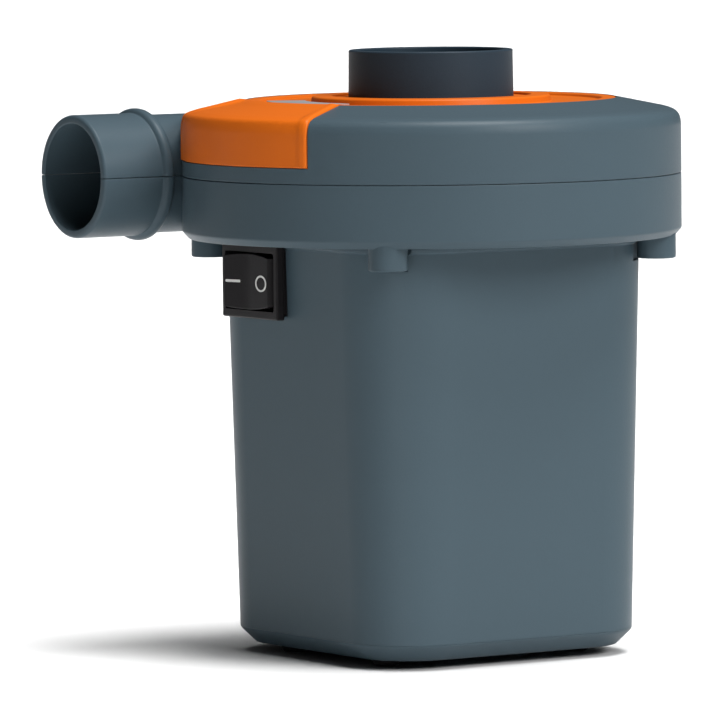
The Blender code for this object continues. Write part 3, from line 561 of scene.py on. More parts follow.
def mesh_of(bm, name):
    """The shape as a mesh, and the bmesh freed."""
    mesh = bpy.data.meshes.new(name)
    bm.to_mesh(mesh)
    bm.free()
    return mesh


def added(name, data):
    """A new object in the scene."""
    thing = bpy.data.objects.new(name, data)
    bpy.context.scene.collection.objects.link(thing)
    return thing


def plus(shape):
    """A step that joins a shape to a piece."""
    return "UNION", shape


def minus(shape):
    """A step that cuts a shape out of a piece."""
    return "DIFFERENCE", shape


def joined(name, base, steps):
    """A new object from a shape and a list of plus and minus steps, about the pump's axis."""
    piece = added(name, mesh_of(base, name))
    tools = []
    for number, (operation, shape) in enumerate(steps):
        tool_name = f"{name}_tool_{number}"
        tool = added(tool_name, mesh_of(shape, tool_name))
        tools.append(tool)
        boolean = piece.modifiers.new(f"step_{number}", "BOOLEAN")
        boolean.operation = operation
        boolean.solver = "EXACT"
        boolean.object = tool
    if steps:
        graph = bpy.context.evaluated_depsgraph_get()
        result = bpy.data.meshes.new_from_object(piece.evaluated_get(graph))
        piece.modifiers.clear()
        old = piece.data
        piece.data = result
        result.name = name
        bpy.data.meshes.remove(old)
    for tool in tools:
        shape = tool.data
        bpy.data.objects.remove(tool)
        bpy.data.meshes.remove(shape)
    if not piece.data.polygons:
        raise RuntimeError(f"{name} came out empty")
    return piece


def dressed(piece, body, slot, nodes=(), on_axis=True, finish=None):
    """Places a finished piece, gives it its finish and rides it on its body in place of CAD nodes."""
    if on_axis:
        piece.data.transform(Matrix.Translation((AXIS.x, AXIS.y, 0)))
    piece.data.materials.clear()
    piece.data.materials.append(FINISHES[finish or slot])
    for polygon in piece.data.polygons:
        polygon.material_index = 0
    piece.data.shade_smooth()
    piece.data.set_sharp_from_angle(angle=math.radians(SHARP_ANGLE))
    normals = piece.modifiers.new("even_shading", "WEIGHTED_NORMAL")
    normals.keep_sharp = True
    normals.weight = 60
    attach(piece, body)
    if nodes:
        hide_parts(*nodes)
    return piece


def polar(distance, degrees):
    """The (x, y) point at a distance and an angle from the axis."""
    return (distance * math.cos(math.radians(degrees)), distance * math.sin(math.radians(degrees)))


def wall_strip(path, thickness, low_z, high_z):
    """A standing wall of even thickness along a path of (x, y) points."""
    bm = bmesh.new()
    line = [bm.verts.new((x, y, low_z)) for x, y in path]
    edges = [bm.edges.new(pair) for pair in zip(line, line[1:])]
    raised = bmesh.ops.extrude_edge_only(bm, edges=edges)["geom"]
    top = [item for item in raised if isinstance(item, bmesh.types.BMVert)]
    bmesh.ops.translate(bm, verts=top, vec=(0, 0, high_z - low_z))
    bmesh.ops.recalc_face_normals(bm, faces=bm.faces)
    bmesh.ops.solidify(bm, geom=bm.faces[:], thickness=thickness)
    clean(bm)
    return bm


# ---- fan housing

def nozzle_half(sizes, upper):
    """Half of the outlet tube with its stop ring, its seam edges softened, laid along -X."""
    points = [
        (NOZZLE_BORE, NOZZLE_TIP, 0.35 * MM), (NOZZLE_RADIUS, NOZZLE_TIP, 0.8 * MM),
        (NOZZLE_RADIUS, 53.7 * MM, 0.25 * MM), (FLANGE_RADIUS, 53.4 * MM, 0.85 * MM),
        (FLANGE_RADIUS, 51.1 * MM, 0.85 * MM), (ROOT_RADIUS, 50.8 * MM, 0.4 * MM), (ROOT_RADIUS, 12 * MM),
        (NOZZLE_BORE, 12 * MM),
    ]
    bm = part_turn(points, 90, 180, 40)
    on_seam = [
        edge for edge in bm.edges
        if all(abs(vert.co.x) < 0.001 * MM for vert in edge.verts) and edge.calc_face_angle(0) > 0.8
        and min(vert.co.y ** 2 for vert in edge.verts) > (NOZZLE_BORE + 0.5 * MM) ** 2
    ]
    soften(bm, on_seam, sizes.seam_round, 2)
    laid_along_x(bm, 0, 0)
    if upper:
        turned_about(bm, 180, "X")
    step = SEAM_GAP / 2 if upper else -SEAM_GAP / 2
    return moved(bm, 0, NOZZLE_Y, SEAM + step)


def outlet_bore():
    """The round way from the fan housing out through the outlet."""
    return laid_along_x(rod(NOZZLE_BORE, 8 * MM, 53 * MM, 80), NOZZLE_Y, SEAM)


def scroll_walls(low_z, high_z):
    """The wall that widens round the impeller, and the short one that leads into the outlet."""
    scroll = []
    count = 40
    for step in range(count + 1):
        part = step / count
        scroll.append(polar((41.5 + 13.5 * part ** 1.25) * MM, 127 + 288 * part))
    throat = [mm(-47.3, 28.0), mm(-37.5, 34.0), mm(-26.0, 34.6)]
    return [plus(wall_strip(scroll, 1.6 * MM, low_z, high_z)),
            plus(wall_strip(throat, 1.6 * MM, low_z - 0.1 * MM, high_z + 0.1 * MM))]


def make_lower_half(sizes):
    """The lower half: chamfered pan, motor well, half the outlet and four screw bosses."""
    top = SEAM - SEAM_GAP / 2
    wall = LID_RADIUS - LID_WALL
    steps = sizes.turn_steps
    pan = turn([
        (0, top), (LID_RADIUS, top, sizes.seam_round), (LID_RADIUS, LID_LOW + 1.5 * MM, 0.3 * MM),
        (LID_RADIUS - 1.35 * MM, LID_LOW, 0.15 * MM), (LID_RADIUS - 3.2 * MM, LID_LOW),
        (LID_RADIUS - 3.4 * MM, LID_LOW + 0.25 * MM), (0, LID_LOW + 0.25 * MM),
    ], steps)
    chamber = turn([
        (0, SEAM + 9 * MM), (wall, SEAM + 9 * MM), (wall, LID_FLOOR, 1.0 * MM), (0, LID_FLOOR)], steps)
    changes = [plus(nozzle_half(sizes, False)), minus(chamber),
               minus(outlet_bore())]
    changes += scroll_walls(LID_FLOOR - 0.5 * MM, SEAM - 0.45 * MM)
    changes.append(minus(rod(13.6 * MM, LID_LOW - MM, LID_FLOOR + MM, 48)))
    changes.append(plus(turn([
        mm(3.9, 107.1, 0.3), mm(14.5, 107.1, 0.6), mm(14.5, 84, 0.4),
        mm(12.7, 84), mm(12.7, 105.9), mm(3.9, 105.9)], 48)))
    for angle in CORNER_ANGLES:
        place = polar(BOSS_DISTANCE, angle)
        changes.append(plus(rod(BOSS_RADIUS, BOSS_LOW, SEAM - 0.6 * MM, 40, place, 0.45 * MM)))
        hole = turn([
            mm(0, 112), mm(1.8, 112), mm(1.8, 92.6), mm(3.3, 92.6),
            (3.3 * MM, BOSS_LOW + 0.3 * MM), (3.6 * MM, BOSS_LOW - MM), (0, BOSS_LOW - MM)], 32, 3, place)
        changes.append(minus(turned_about(hole, 4, "Z", (*place, 0))))
    for side in mm(7, -7):
        changes.append(minus(rod(1.1 * MM, 103 * MM, 109 * MM, 20, (0, side))))
    piece = joined("fan_housing_lower", pan, changes)
    return dressed(piece, "pump_body", "slate_plastic", ["lower_volute"])


def make_upper_half(sizes):
    """The upper half: straight side, soft shoulder, shallow cone, trim recess and half the outlet."""
    low_z = SEAM + SEAM_GAP / 2
    wall = LID_RADIUS - LID_WALL
    steps = sizes.turn_steps
    cover = turn([
        (THROAT, SEAT, 0.3 * MM), (TRIM_RADIUS + 0.12 * MM, SEAT),
        (TRIM_RADIUS + 0.12 * MM, CONE_TOP - 0.32 * MM, 0.1 * MM), (CONE_OUTER, CONE_EDGE, 1.0 * MM),
        (LID_RADIUS - 0.75 * MM, 122.25 * MM, 0.9 * MM), (LID_RADIUS, SHOULDER_LOW, 1.0 * MM),
        (LID_RADIUS, low_z, sizes.seam_round), (wall, low_z), (wall, CEILING - 3.1 * MM),
        (wall - 3.3 * MM, CEILING), (THROAT, CEILING, 0.3 * MM),
    ], steps, 4)
    chamber = turn([
        (0, CEILING - 0.02 * MM), (wall - 3.3 * MM, CEILING - 0.02 * MM), (wall, CEILING - 3.1 * MM),
        (wall, SEAM - 9 * MM), (0, SEAM - 9 * MM)], steps)
    changes = [plus(nozzle_half(sizes, True)), minus(chamber),
               minus(outlet_bore())]
    changes += scroll_walls(SEAM + 0.45 * MM, CEILING + 0.5 * MM)
    for angle in CORNER_ANGLES:
        place = polar(BOSS_DISTANCE, angle)
        post = rod(BOSS_RADIUS - 0.4 * MM, SEAM + 0.6 * MM, CEILING + 0.8 * MM, 32, place)
        changes.append(plus(post))
        changes.append(minus(turned_about(
            rod(1.8 * MM, SEAM - 2 * MM, 117.5 * MM, 20, place), 4, "Z", (*place, 0))))
    recess = part_turn([
        mm(41.95, 124.6), mm(53.6, 122.05, 1.0), mm(54.9, 121.2), mm(55.5, 120),
        (55.5 * MM, TONGUE_LOW - 0.12 * MM), (57.4 * MM, TONGUE_LOW - 0.12 * MM),
        mm(57.4, 130), mm(41.95, 130)], TONGUE_START - 0.13, TONGUE_SWEEP + 0.26, 48)
    changes.append(minus(recess))
    piece = joined("fan_housing_upper", cover, changes)
    return dressed(piece, "pump_body", "slate_plastic", ["upper_volute"])


# ---- trim, plate and inlet port

def tongue_drop(along, across):
    """How far the tongue's skin sinks: rolled at its ends, raised borders, and a shallow field between."""
    roll = 0.95 * MM
    drop = 0.0
    if along < roll:
        drop += roll * (1 - math.sqrt(max(0.0, 1 - (1 - along / roll) ** 2)))
    inward = min(1.0, max(0.0, (along - 1.7 * MM) / (1.5 * MM)))
    depth = 0.25 * MM + 0.55 * MM * min(1.0, max(0.0, (54.0 * MM - across) / (9.0 * MM)))
    return drop + depth * inward * inward * (3 - 2 * inward)


def soften_tongue(bm):
    """Crowds the tongue's steps towards its two ends, then sinks its outer skin between raised borders."""
    half = math.radians(TONGUE_SWEEP) / 2
    middle = math.radians(TONGUE_START) + half
    bmesh.ops.recalc_face_normals(bm, faces=bm.faces)
    skin = {vert for vert in bm.verts if vert.co.xy.length > 42.0 * MM and on_outer_skin(vert.co)}
    for vert in bm.verts:
        angle = (math.atan2(vert.co.y, vert.co.x) - middle + math.pi) % math.tau - math.pi
        part = max(-1.0, min(1.0, angle / half))
        eased = math.sin(part * math.pi / 2) * 0.75 + part * 0.25
        radius = vert.co.xy.length
        if vert in skin:
            along = (1 - abs(eased)) * half * radius
            drop = tongue_drop(along, radius)
            lean = min(1.0, max(0.0, (radius - 53.2 * MM) / (3.4 * MM)))
            radius -= drop * lean
            vert.co.z -= drop * (1 - lean * lean)
        turned = middle + eased * half
        vert.co.x = radius * math.cos(turned)
        vert.co.y = radius * math.sin(turned)


def on_outer_skin(place):
    """True on the tongue's outer face, which lies over the cone and down the side."""
    radius = place.xy.length
    if radius > 56.0 * MM:
        return True
    cone = CONE_TOP - (radius - CONE_INNER) * (CONE_TOP - CONE_EDGE) / (CONE_OUTER - CONE_INNER)
    return place.z > cone - 0.25 * MM


def make_trim(sizes):
    """The trim ring with its collar, channel and the tongue that folds down over the side."""
    steps = sizes.turn_steps
    rim = CONE_TOP - 0.4 * MM
    ring = turn([
        (PORT_RADIUS + 0.15 * MM, 125.75 * MM), mm(22.5, 125.8), mm(22.5, 126.4, 0.35),
        mm(26.9, 126.3, 0.45), mm(27.2, 124.8, 0.2), mm(38.3, 124.8, 0.2), (38.6 * MM, rim, 0.35 * MM),
        (TRIM_RADIUS, rim, 0.3 * MM), (TRIM_RADIUS, 123.9 * MM), mm(22.0, 123.9), mm(22.0, 124.9),
        (PORT_RADIUS + 0.15 * MM, 124.9 * MM),
    ], steps)
    up = sizes.tongue_proud
    tongue = part_turn([
        mm(40.0, 125.5), (41.9 * MM, CONE_TOP - 0.1 * MM), (43.4 * MM, CONE_TOP - 0.25 * MM + up),
        (46.6 * MM, CONE_TOP - 1.02 * MM + up), (50.0 * MM, CONE_TOP - 1.82 * MM + up),
        (CONE_OUTER + 0.2 * MM, CONE_EDGE + up, 1.4 * MM), mm(56.1, 122.6, 1.1), mm(56.75, 120.5, 1.0),
        mm(56.75, 117), (56.75 * MM, TONGUE_LOW, 0.3 * MM), (55.7 * MM, TONGUE_LOW), mm(55.7, 120.1),
        mm(55.1, 121.4), mm(53.7, 122.3), mm(42.2, 124.7), mm(40.0, 124.7),
    ], TONGUE_START, TONGUE_SWEEP, 96, 4)
    soften_tongue(tongue)
    piece = joined("trim_cover_piece", ring, [plus(tongue)])
    return dressed(piece, "pump_body", "orange_plastic", ["trim_cover"])


def make_plate():
    """The blank silvery crescent in the trim's channel."""
    plate = part_turn([
        mm(28.4, 125.35, 0.12), mm(37.2, 125.35, 0.12), mm(37.2, 124.85),
        mm(28.4, 124.85)], 148, 48, 48, 2)
    piece = joined("name_plate_piece", plate, [])
    return dressed(piece, "pump_body", "silver_label", ["name_plate"])


def make_port(sizes):
    """The inlet port: a thin round collar with a foot under the trim."""
    port = turn([
        (PORT_BORE + 0.2 * MM, PORT_TOP, 0.35 * MM), (PORT_RADIUS - 0.15 * MM, PORT_TOP, 0.35 * MM),
        (PORT_RADIUS, 124.7 * MM), mm(21.5, 124.7), mm(21.5, 123.9), (PORT_BORE, 123.9 * MM, 0.3 * MM),
    ], sizes.turn_steps, 3)
    piece = joined("inlet_port_piece", port, [])
    return dressed(piece, "pump_body", "charcoal_plastic", ["inlet_port"])


def make_grille():
    """The finger guard in the inlet throat."""
    low_z = CEILING + 0.3 * MM
    high_z = SEAT - 0.1 * MM
    guard = turn([(15.4 * MM, high_z, 0.3 * MM), (THROAT - 0.3 * MM, high_z, 0.2 * MM),
                  (THROAT - 0.3 * MM, low_z, 0.2 * MM), (15.4 * MM, low_z, 0.3 * MM)], 72)
    changes = []
    for outer, inner in (mm(11.9, 10.9), mm(7.6, 6.6)):
        changes.append(plus(turn([
            (inner, high_z - 0.2 * MM, 0.2 * MM), (outer, high_z - 0.2 * MM, 0.2 * MM), (outer, low_z),
            (inner, low_z)], 60)))
    changes.append(plus(rod(2.9 * MM, low_z, high_z, 40, (0, 0), 0.3 * MM)))
    for number in range(3):
        bar = block((-16 * MM, -0.6 * MM, low_z + 0.05 * MM),
                    (16 * MM, 0.6 * MM, high_z - 0.1 * MM), 0.15 * MM)
        changes.append(plus(turned_about(bar, 60 * number + 15)))
    piece = joined("inlet_guard", guard, changes)
    return dressed(piece, "pump_body", "charcoal_plastic", ["inlet_grille"])


# ---- battery housing and door

WALL_LEAN = 2.2 * MM
BASE_HALF = 36.5 * MM
BASE_CORNER = 16.0 * MM
RIM_LOW = 93.0 * MM
HOUSING_WALL = 1.8 * MM
BODY_JOIN = 5.75 * MM
EAR_RADIUS = 2.4 * MM


def make_housing():
    """The tapered rounded-square shell with its rim, corner pockets, switch cut-out and hinge ears."""
    top_half = BASE_HALF + WALL_LEAN
    top_corner = BASE_CORNER + WALL_LEAN
    rim = RIM_HALF - top_half
    levels = [(BODY_JOIN + 0.02 * MM, BASE_HALF, BASE_CORNER)]
    for step in range(1, 9):
        part = step / 9
        levels.append((BODY_JOIN + (RIM_LOW - BODY_JOIN) * part, BASE_HALF + WALL_LEAN * part,
                       BASE_CORNER + WALL_LEAN * part))
    levels += [
        (RIM_LOW - 0.25 * MM, top_half, top_corner), (RIM_LOW, top_half + 0.3 * MM, top_corner + 0.3 * MM),
        (RIM_LOW + 0.2 * MM, top_half + rim - 0.15 * MM, top_corner + rim - 0.15 * MM),
        (RIM_LOW + 0.45 * MM, top_half + rim, top_corner + rim),
        (HOUSING_HIGH - 0.2 * MM, top_half + rim, top_corner + rim),
        (HOUSING_HIGH, top_half + rim - 0.2 * MM, top_corner + rim - 0.2 * MM),
    ]
    shell = square_loft(levels, 18)
    places = [polar(BOSS_DISTANCE, angle) for angle in CORNER_ANGLES]
    core = square_loft([
        (BODY_JOIN - MM, BASE_HALF - HOUSING_WALL, BASE_CORNER - HOUSING_WALL),
        (HOUSING_HIGH + MM, top_half - HOUSING_WALL, top_corner - HOUSING_WALL)], 18)
    lining = 1.6 * MM
    inside = joined("housing_inside", core, [
        minus(rod(POCKET_RADIUS + lining, POCKET_FLOOR - lining, 97 * MM, 40, place)) for place in places])
    hollow = bmesh.new()
    hollow.from_mesh(inside.data)
    bpy.data.objects.remove(inside)
    changes = [minus(hollow)]
    for place in places:
        changes.append(minus(rod(POCKET_RADIUS, POCKET_FLOOR, 98 * MM, 48, place)))
    window = switch_block(-45 * MM, -30 * MM, 11.0 * MM, 7.6 * MM)
    notch = block((-45 * MM, SWITCH.y - 11.6 * MM, SWITCH.z - 8.6 * MM),
                  (-38.9 * MM, SWITCH.y + 11.6 * MM, HOUSING_HIGH + MM))
    changes += [minus(window), minus(notch)]
    for sign in (1, -1):
        low_x, high_x = sorted((sign * 6.1 * MM, sign * 11.0 * MM))
        web = block((low_x + 0.3 * MM, 36.1 * MM, 6.2 * MM),
                    (high_x - 0.3 * MM, 40.6 * MM, 10.8 * MM), 0.3 * MM)
        changes.append(plus(web))
        ear = hinge_rod(EAR_RADIUS, -high_x, -low_x, 36, 0.25 * MM)
        changes.append(plus(ear))
    changes.append(minus(hinge_rod(1.25 * MM, -15 * MM, 15 * MM, 28)))
    piece = joined("battery_housing_piece", shell, changes)
    return dressed(piece, "pump_body", "slate_plastic", ["battery_housing"])


def make_door():
    """The chamfered battery door with its ribs, foot sockets, knuckle and catch."""
    levels = [
        (DOOR_LOW, BASE_HALF - 3.85 * MM, BASE_CORNER - 3.85 * MM),
        (DOOR_LOW + 0.12 * MM, BASE_HALF - 3.5 * MM, BASE_CORNER - 3.5 * MM),
        (DOOR_LOW + 0.5 * MM, BASE_HALF - 3.05 * MM, BASE_CORNER - 3.05 * MM),
        (BODY_JOIN - 0.75 * MM, BASE_HALF - 0.45 * MM, BASE_CORNER - 0.45 * MM),
        (BODY_JOIN - 0.3 * MM, BASE_HALF - 0.12 * MM, BASE_CORNER - 0.12 * MM),
        (BODY_JOIN - 0.02 * MM, BASE_HALF - 0.01 * MM, BASE_CORNER),
    ]
    door = square_loft(levels, 18)
    inside = square_loft([
        mm(4.4, 32.2, 11.8), (BODY_JOIN + MM, 34.4 * MM, 14 * MM)], 18)
    changes = [minus(inside)]
    panel = square_loft([(DOOR_LOW - MM, 29.0 * MM, 10.5 * MM), (DOOR_LOW + 0.4 * MM, 29.0 * MM, 10.5 * MM),
                         (DOOR_LOW + 0.5 * MM, 28.8 * MM, 10.3 * MM)], 10)
    changes.append(minus(panel))
    for x in mm(-26, 26):
        for y in mm(-18.6, 18.6):
            changes.append(plus(rod(4.2 * MM, DOOR_LOW + 0.02 * MM, 4.0 * MM, 32, (x, y), 0.1 * MM)))
            changes.append(minus(rod(3.3 * MM, DOOR_LOW - MM, DOOR_LOW + 0.5 * MM, 32, (x, y))))
    web = block(mm(-5.3, 34.8, 3.6), (5.3 * MM, HINGE.y, 5.35 * MM), 0.15 * MM)
    changes.append(plus(web))
    knuckle = hinge_rod(EAR_RADIUS, -5.7 * MM, 5.7 * MM, 36, 0.25 * MM)
    changes.append(plus(knuckle))
    changes.append(minus(hinge_rod(1.1 * MM, -7 * MM, 7 * MM, 28)))
    changes.append(plus(block(mm(-6, -33.4, 3.8), mm(6, -32, 9.6), 0.2 * MM)))
    changes.append(plus(block(mm(-5, -34.2, 8.2), mm(5, -33, 9.2), 0.2 * MM)))
    piece = joined("battery_door_piece", door, changes)
    return dressed(piece, "door", "slate_plastic", ["battery_door"])


def make_feet():
    """The four rubber feet, each a turned pad with a soft edge."""
    for number in range(1, 5):
        corner_low, corner_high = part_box(f"rubber_foot_{number}")
        middle = (corner_low + corner_high) / 2
        foot = turn([
            (0, DOOR_LOW - 0.1 * MM), (3.1 * MM, DOOR_LOW - 0.1 * MM), mm(3.1, 0.9, 0.3),
            mm(2.5, 0.0, 0.4), mm(1.6, 0.0, 0.1), mm(1.4, 0.25), mm(0, 0.25)], 36)
        piece = joined(f"foot_{number}", moved(foot, middle.x, middle.y), [])
        dressed(piece, "door", "rubber", [f"rubber_foot_{number}"], on_axis=False)


# ---- switch

ROCKER_REACH = 9.6 * MM
ROCKER_RISE = 4.8 * MM
ROCKER_TRAVEL = 16


def make_bezel():
    """The switch frame and its box, with a softened face, a sunk opening and moulded lead-in."""
    front = low("switch_bezel").x - AXIS.x
    flange_back = -39.25 * MM
    face = switch_block(front, flange_back, 11.4 * MM, 8.4 * MM, 0.45 * MM, 3)
    box = switch_block(flange_back - 0.5 * MM, -26.6 * MM, 10.7 * MM, 7.3 * MM, 0.3 * MM)
    opening = switch_block(front - MM, -27.8 * MM, 10.05 * MM, 6.6 * MM, 0.5 * MM)
    changes = [plus(box), minus(opening),
               minus(rod(1.15 * MM, SWITCH.z - 8 * MM, SWITCH.z + 8 * MM, 24, (SWITCH.x, SWITCH.y)))]
    piece = joined("switch_frame", face, changes)
    return dressed(piece, "pump_body", "black_plastic", ["switch_bezel"])


def make_rocker():
    """The barrel-shaped rocker, pressed in at its O end, with its pivot stubs."""
    half = 6.3 * MM
    travel = math.radians(ROCKER_TRAVEL)
    high_end = travel - math.acos(ROCKER_RISE * math.cos(travel) / ROCKER_REACH)
    low_end = math.acos(ROCKER_RISE / ROCKER_REACH)
    back_end = math.radians(110)
    bm = bmesh.new()
    arc_steps = 16
    outline = [(0.0, ROCKER_RISE)]
    for start, end in ((high_end, -back_end), (back_end, low_end)):
        for step in range(arc_steps + 1):
            angle = start + (end - start) * step / arc_steps
            outline.append((-ROCKER_REACH * math.sin(angle), ROCKER_REACH * math.cos(angle)))
    verts = [bm.verts.new((-out, along, -half)) for along, out in outline]
    face = bm.faces.new(verts)
    raised = bmesh.ops.extrude_face_region(bm, geom=[face])["geom"]
    top = [item for item in raised if isinstance(item, bmesh.types.BMVert)]
    bmesh.ops.translate(bm, verts=top, vec=(0, 0, 2 * half))
    for cut_y in (-8.1, -6.5, -4.9, -3.2, -1.6, 1.6, 3.2, 4.9, 6.5, 8.1):
        bmesh.ops.bisect_plane(
            bm, geom=bm.verts[:] + bm.edges[:] + bm.faces[:], dist=0.001 * MM, plane_co=(0, cut_y * MM, 0),
            plane_no=(0, 1, 0))
    for vert in bm.verts:
        vert.co.z *= 1 - 0.17 * (vert.co.y / ROCKER_REACH) ** 2
    clean(bm)
    rims = [edge for edge in bm.edges if edge.calc_face_angle(0) > 0.9]
    soften(bm, rims, 0.35 * MM, 3)
    moved(bm, SWITCH.x, SWITCH.y, SWITCH.z)
    stub = rod(1.0 * MM, SWITCH.z - 7.1 * MM, SWITCH.z + 7.1 * MM, 24, (SWITCH.x, SWITCH.y))
    piece = joined("rocker_piece", bm, [plus(stub)])
    return dressed(piece, "rocker", "black_plastic", ["switch_rocker"])


def make_marks(sizes):
    """The rocker's printed bar and ring, lying on its two faces."""
    depth = sizes.mark_depth
    bar = block((-depth, -2.2 * MM, -0.3 * MM), mm(0.3, 2.2, 0.3))
    upright = [edge for edge in bar.edges if abs(edge.verts[0].co.x - edge.verts[1].co.x) > 0.1 * MM]
    soften(bar, upright, 0.27 * MM, 4)
    moved(bar, 0, 4.3 * MM, 0)
    turned_about(bar, ROCKER_TRAVEL, "Z")
    moved(bar, SWITCH.x - ROCKER_RISE, SWITCH.y, SWITCH.z)
    ring = turn([
        (1.95 * MM, depth), (2.5 * MM, depth), mm(2.5, -0.3), mm(1.95, -0.3)], 48)
    turned_about(ring, -90, "Y")
    bmesh.ops.scale(ring, verts=ring.verts, vec=(1, 0.9, 0.74))
    moved(ring, SWITCH.x - ROCKER_RISE, SWITCH.y - 5.6 * MM, SWITCH.z - 0.3 * MM)
    for name, shape in (("rocker_bar_mark", bar), ("rocker_ring_mark", ring)):
        dressed(joined(name, shape, []), "rocker", "black_plastic", finish="mark")


# ---- CAD nodes that stay

def node_slots(value):
    """Pairs of node and material slot, from anywhere in the record."""
    if isinstance(value, dict):
        if "node" in value and "material_slot" in value:
            yield value["node"], value["material_slot"]
        value = list(value.values())
    if isinstance(value, list):
        for inner in value:
            yield from node_slots(inner)


def make_kept_nodes():
    """Gives each CAD node that still shows the finish of its own slot."""
    slots = dict(node_slots(frame["record"]))
    for name, node in frame["nodes"].items():
        if node.hide_render:
            continue
        node.data.materials.clear()
        node.data.materials.append(FINISHES[slots[name]])


# ---- stage

def make_floor(colours):
    """A wide pale floor."""
    finish = Finish("floor")
    wash = finish.noise(finish.place(), 3.0, 2.0)
    finish.surface(
        Base_Color=finish.blend(wash, shade(colours.floor, 0.985), shade(colours.floor, 1.0)),
        Roughness=0.85 + wash * 0.05)
    bm = bmesh.new()
    bmesh.ops.create_grid(bm, x_segments=4, y_segments=4, size=14.0)
    floor = added("studio_floor", mesh_of(bm, "studio_floor"))
    floor.data.materials.append(finish.material)


def away_from_pump(azimuth, elevation):
    """The way out from the pump, at an azimuth seen from above and an elevation, in degrees."""
    turn_round, up = math.radians(azimuth), math.radians(elevation)
    return Vector((math.cos(turn_round) * math.cos(up), math.sin(turn_round) * math.cos(up), math.sin(up)))


def make_light(name, kind, location, rotation, **settings):
    """A light with its place and its settings."""
    data = bpy.data.lights.new(name, kind)
    for setting, value in settings.items():
        setattr(data, setting, value)
    light = added(name, data)
    light.location = location
    light.rotation_euler = rotation
    return light


def make_lamp(name, azimuth, elevation, distance, size, power, tall):
    """A soft rectangular lamp that faces the pump."""
    away = away_from_pump(azimuth, elevation)
    target = Vector((AXIS.x, AXIS.y, 0.07))
    return make_light(
        name, "AREA", target + away * distance, (-away).to_track_quat("-Z", "Y").to_euler(),
        shape="RECTANGLE", size=size, size_y=tall, energy=power)


def make_sun(name, azimuth, elevation, strength, spread):
    """A wide soft light that reaches the whole floor."""
    away = away_from_pump(azimuth, elevation)
    make_light(
        name, "SUN", (0, 0, 0), (-away).to_track_quat("-Z", "Y").to_euler(),
        energy=strength, angle=math.radians(spread))


def only_on(lamp, names):
    """Lets a lamp reach only the named pieces."""
    reached = bpy.data.collections.new(f"{lamp.name}_reaches")
    for name in names:
        reached.objects.link(bpy.data.objects[name])
    lamp.light_linking.receiver_collection = reached


def make_camera(stage):
    """The camera at the product view."""
    back = Vector((-math.sin(stage.azimuth), -math.cos(stage.azimuth), 0))
    right = Vector((math.cos(stage.azimuth), -math.sin(stage.azimuth), 0))
    middle = Vector((AXIS.x, AXIS.y, 0)) - right * stage.aside
    data = bpy.data.cameras.new("product_camera")
    data.lens = stage.lens
    data.sensor_width = 36
    data.clip_end = 100
    camera = added("product_camera", data)
    camera.location = middle + back * stage.distance + Vector((0, 0, stage.eye))
    view = middle + Vector((0, 0, stage.aim)) - camera.location
    turn_to = view.to_track_quat("-Z", "Y").to_matrix() @ Matrix.Rotation(stage.roll, 3, "Z")
    camera.rotation_euler = turn_to.to_euler()
    bpy.context.scene.camera = camera


def make_floor_light(stage):
    """A long lamp over the strip of floor that the camera sees, so that the floor goes plain white."""
    away = Vector((math.sin(stage.azimuth), math.cos(stage.azimuth), 0))
    lamp = make_light(
        "floor_light", "AREA", Vector((AXIS.x, AXIS.y, 0)) + away * 3.5 + Vector((0, 0, 1.0)),
        (0, 0, -stage.azimuth), shape="RECTANGLE", size=0.7, size_y=8.4, spread=math.radians(50), energy=19)
    only_on(lamp, ("studio_floor",))


def make_world(strength):
    """Even surrounding light."""
    world = bpy.data.worlds.new("studio_world")
    world.use_nodes = True
    background = world.node_tree.nodes["Background"]
    background.inputs["Color"].default_value = (1, 1, 1, 1)
    background.inputs["Strength"].default_value = strength
    bpy.context.scene.world = world
    bpy.context.scene.view_settings.view_transform = "Standard"


def make_stage(settings, colours):
    """Floor, lamps, surrounding light and camera."""
    make_floor(colours)
    make_world(0.05)
    make_sun("ceiling_light", 300, 76, 4.3, 30)
    edge_light = make_lamp("edge_softbox", 222, 8, 2.4, 0.3, 8, 1.0)
    only_on(edge_light, ("battery_housing_piece", "battery_door_piece"))
    make_lamp("right_softbox", 282, 33, 2.3, 1.2, 50, 1.1)
    make_floor_light(settings)
    make_camera(settings)


# ---- operators

class PUMP_OT_finishes(Operator):
    """Make every finish"""

    bl_idname = "pump.finishes"
    bl_label = "Finishes"

    def execute(self, context):
        FINISHES.update(make_finishes(context.scene.pump_colours))
        return {"FINISHED"}


class PUMP_OT_fan_housing(Operator):
    """Make the two halves of the fan housing with the outlet"""

    bl_idname = "pump.fan_housing"
    bl_label = "Fan housing"

    def execute(self, context):
        make_lower_half(context.scene.pump_sizes)
        make_upper_half(context.scene.pump_sizes)
        return {"FINISHED"}


class PUMP_OT_trim(Operator):
    """Make the trim cover and its blank plate"""

    bl_idname = "pump.trim"
    bl_label = "Trim cover"

    def execute(self, context):
        make_trim(context.scene.pump_sizes)
        make_plate()
        return {"FINISHED"}


class PUMP_OT_inlet(Operator):
    """Make the inlet port and its finger guard"""

    bl_idname = "pump.inlet"
    bl_label = "Inlet"

    def execute(self, context):
        make_port(context.scene.pump_sizes)
        make_grille()
        return {"FINISHED"}


class PUMP_OT_housing(Operator):
    """Make the battery housing"""

    bl_idname = "pump.housing"
    bl_label = "Battery housing"

    def execute(self, context):
        make_housing()
        return {"FINISHED"}


class PUMP_OT_door(Operator):
    """Make the battery door and the feet"""

    bl_idname = "pump.door"
    bl_label = "Battery door"

    def execute(self, context):
        make_door()
        make_feet()
        return {"FINISHED"}


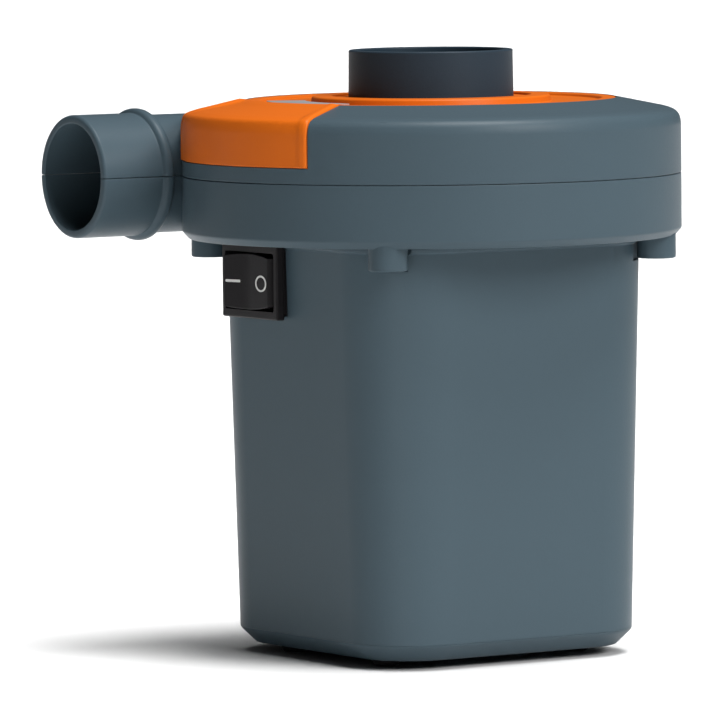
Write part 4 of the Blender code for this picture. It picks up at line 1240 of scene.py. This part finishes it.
class PUMP_OT_switch(Operator):
    """Make the switch frame, rocker and marks"""

    bl_idname = "pump.switch"
    bl_label = "Switch"

    def execute(self, context):
        make_bezel()
        make_rocker()
        make_marks(context.scene.pump_sizes)
        return {"FINISHED"}


class PUMP_OT_kept_nodes(Operator):
    """Give the CAD nodes that stay in view their finishes"""

    bl_idname = "pump.kept_nodes"
    bl_label = "Inner parts"

    def execute(self, context):
        make_kept_nodes()
        return {"FINISHED"}


class PUMP_OT_stage(Operator):
    """Make the floor, lamps and camera"""

    bl_idname = "pump.stage"
    bl_label = "Stage"

    def execute(self, context):
        make_stage(context.scene.pump_stage, context.scene.pump_colours)
        return {"FINISHED"}


STEPS = (
    PUMP_OT_finishes, PUMP_OT_fan_housing, PUMP_OT_trim, PUMP_OT_inlet, PUMP_OT_housing, PUMP_OT_door,
    PUMP_OT_switch, PUMP_OT_kept_nodes, PUMP_OT_stage,
)


class PUMP_PT_panel(Panel):
    """Lists the steps that build the pump"""

    bl_label = "Air mattress pump"
    bl_space_type = "VIEW_3D"
    bl_region_type = "UI"
    bl_category = "Pump"

    def draw(self, context):
        for step in STEPS:
            self.layout.operator(step.bl_idname)
        for group in (context.scene.pump_sizes, context.scene.pump_colours, context.scene.pump_stage):
            for name in group.__annotations__:
                self.layout.prop(group, name)


CLASSES = (PumpSizes, PumpColours, PumpStage, *STEPS, PUMP_PT_panel)


def register():
    for kind in CLASSES:
        bpy.utils.register_class(kind)
    bpy.types.Scene.pump_sizes = PointerProperty(type=PumpSizes)
    bpy.types.Scene.pump_colours = PointerProperty(type=PumpColours)
    bpy.types.Scene.pump_stage = PointerProperty(type=PumpStage)


def unregister():
    del bpy.types.Scene.pump_stage
    del bpy.types.Scene.pump_colours
    del bpy.types.Scene.pump_sizes
    for kind in reversed(CLASSES):
        bpy.utils.unregister_class(kind)


def main():
    register()
    for step in STEPS:
        group, name = step.bl_idname.split(".")
        getattr(getattr(bpy.ops, group), name)()


if __name__ == "__main__":
    main()
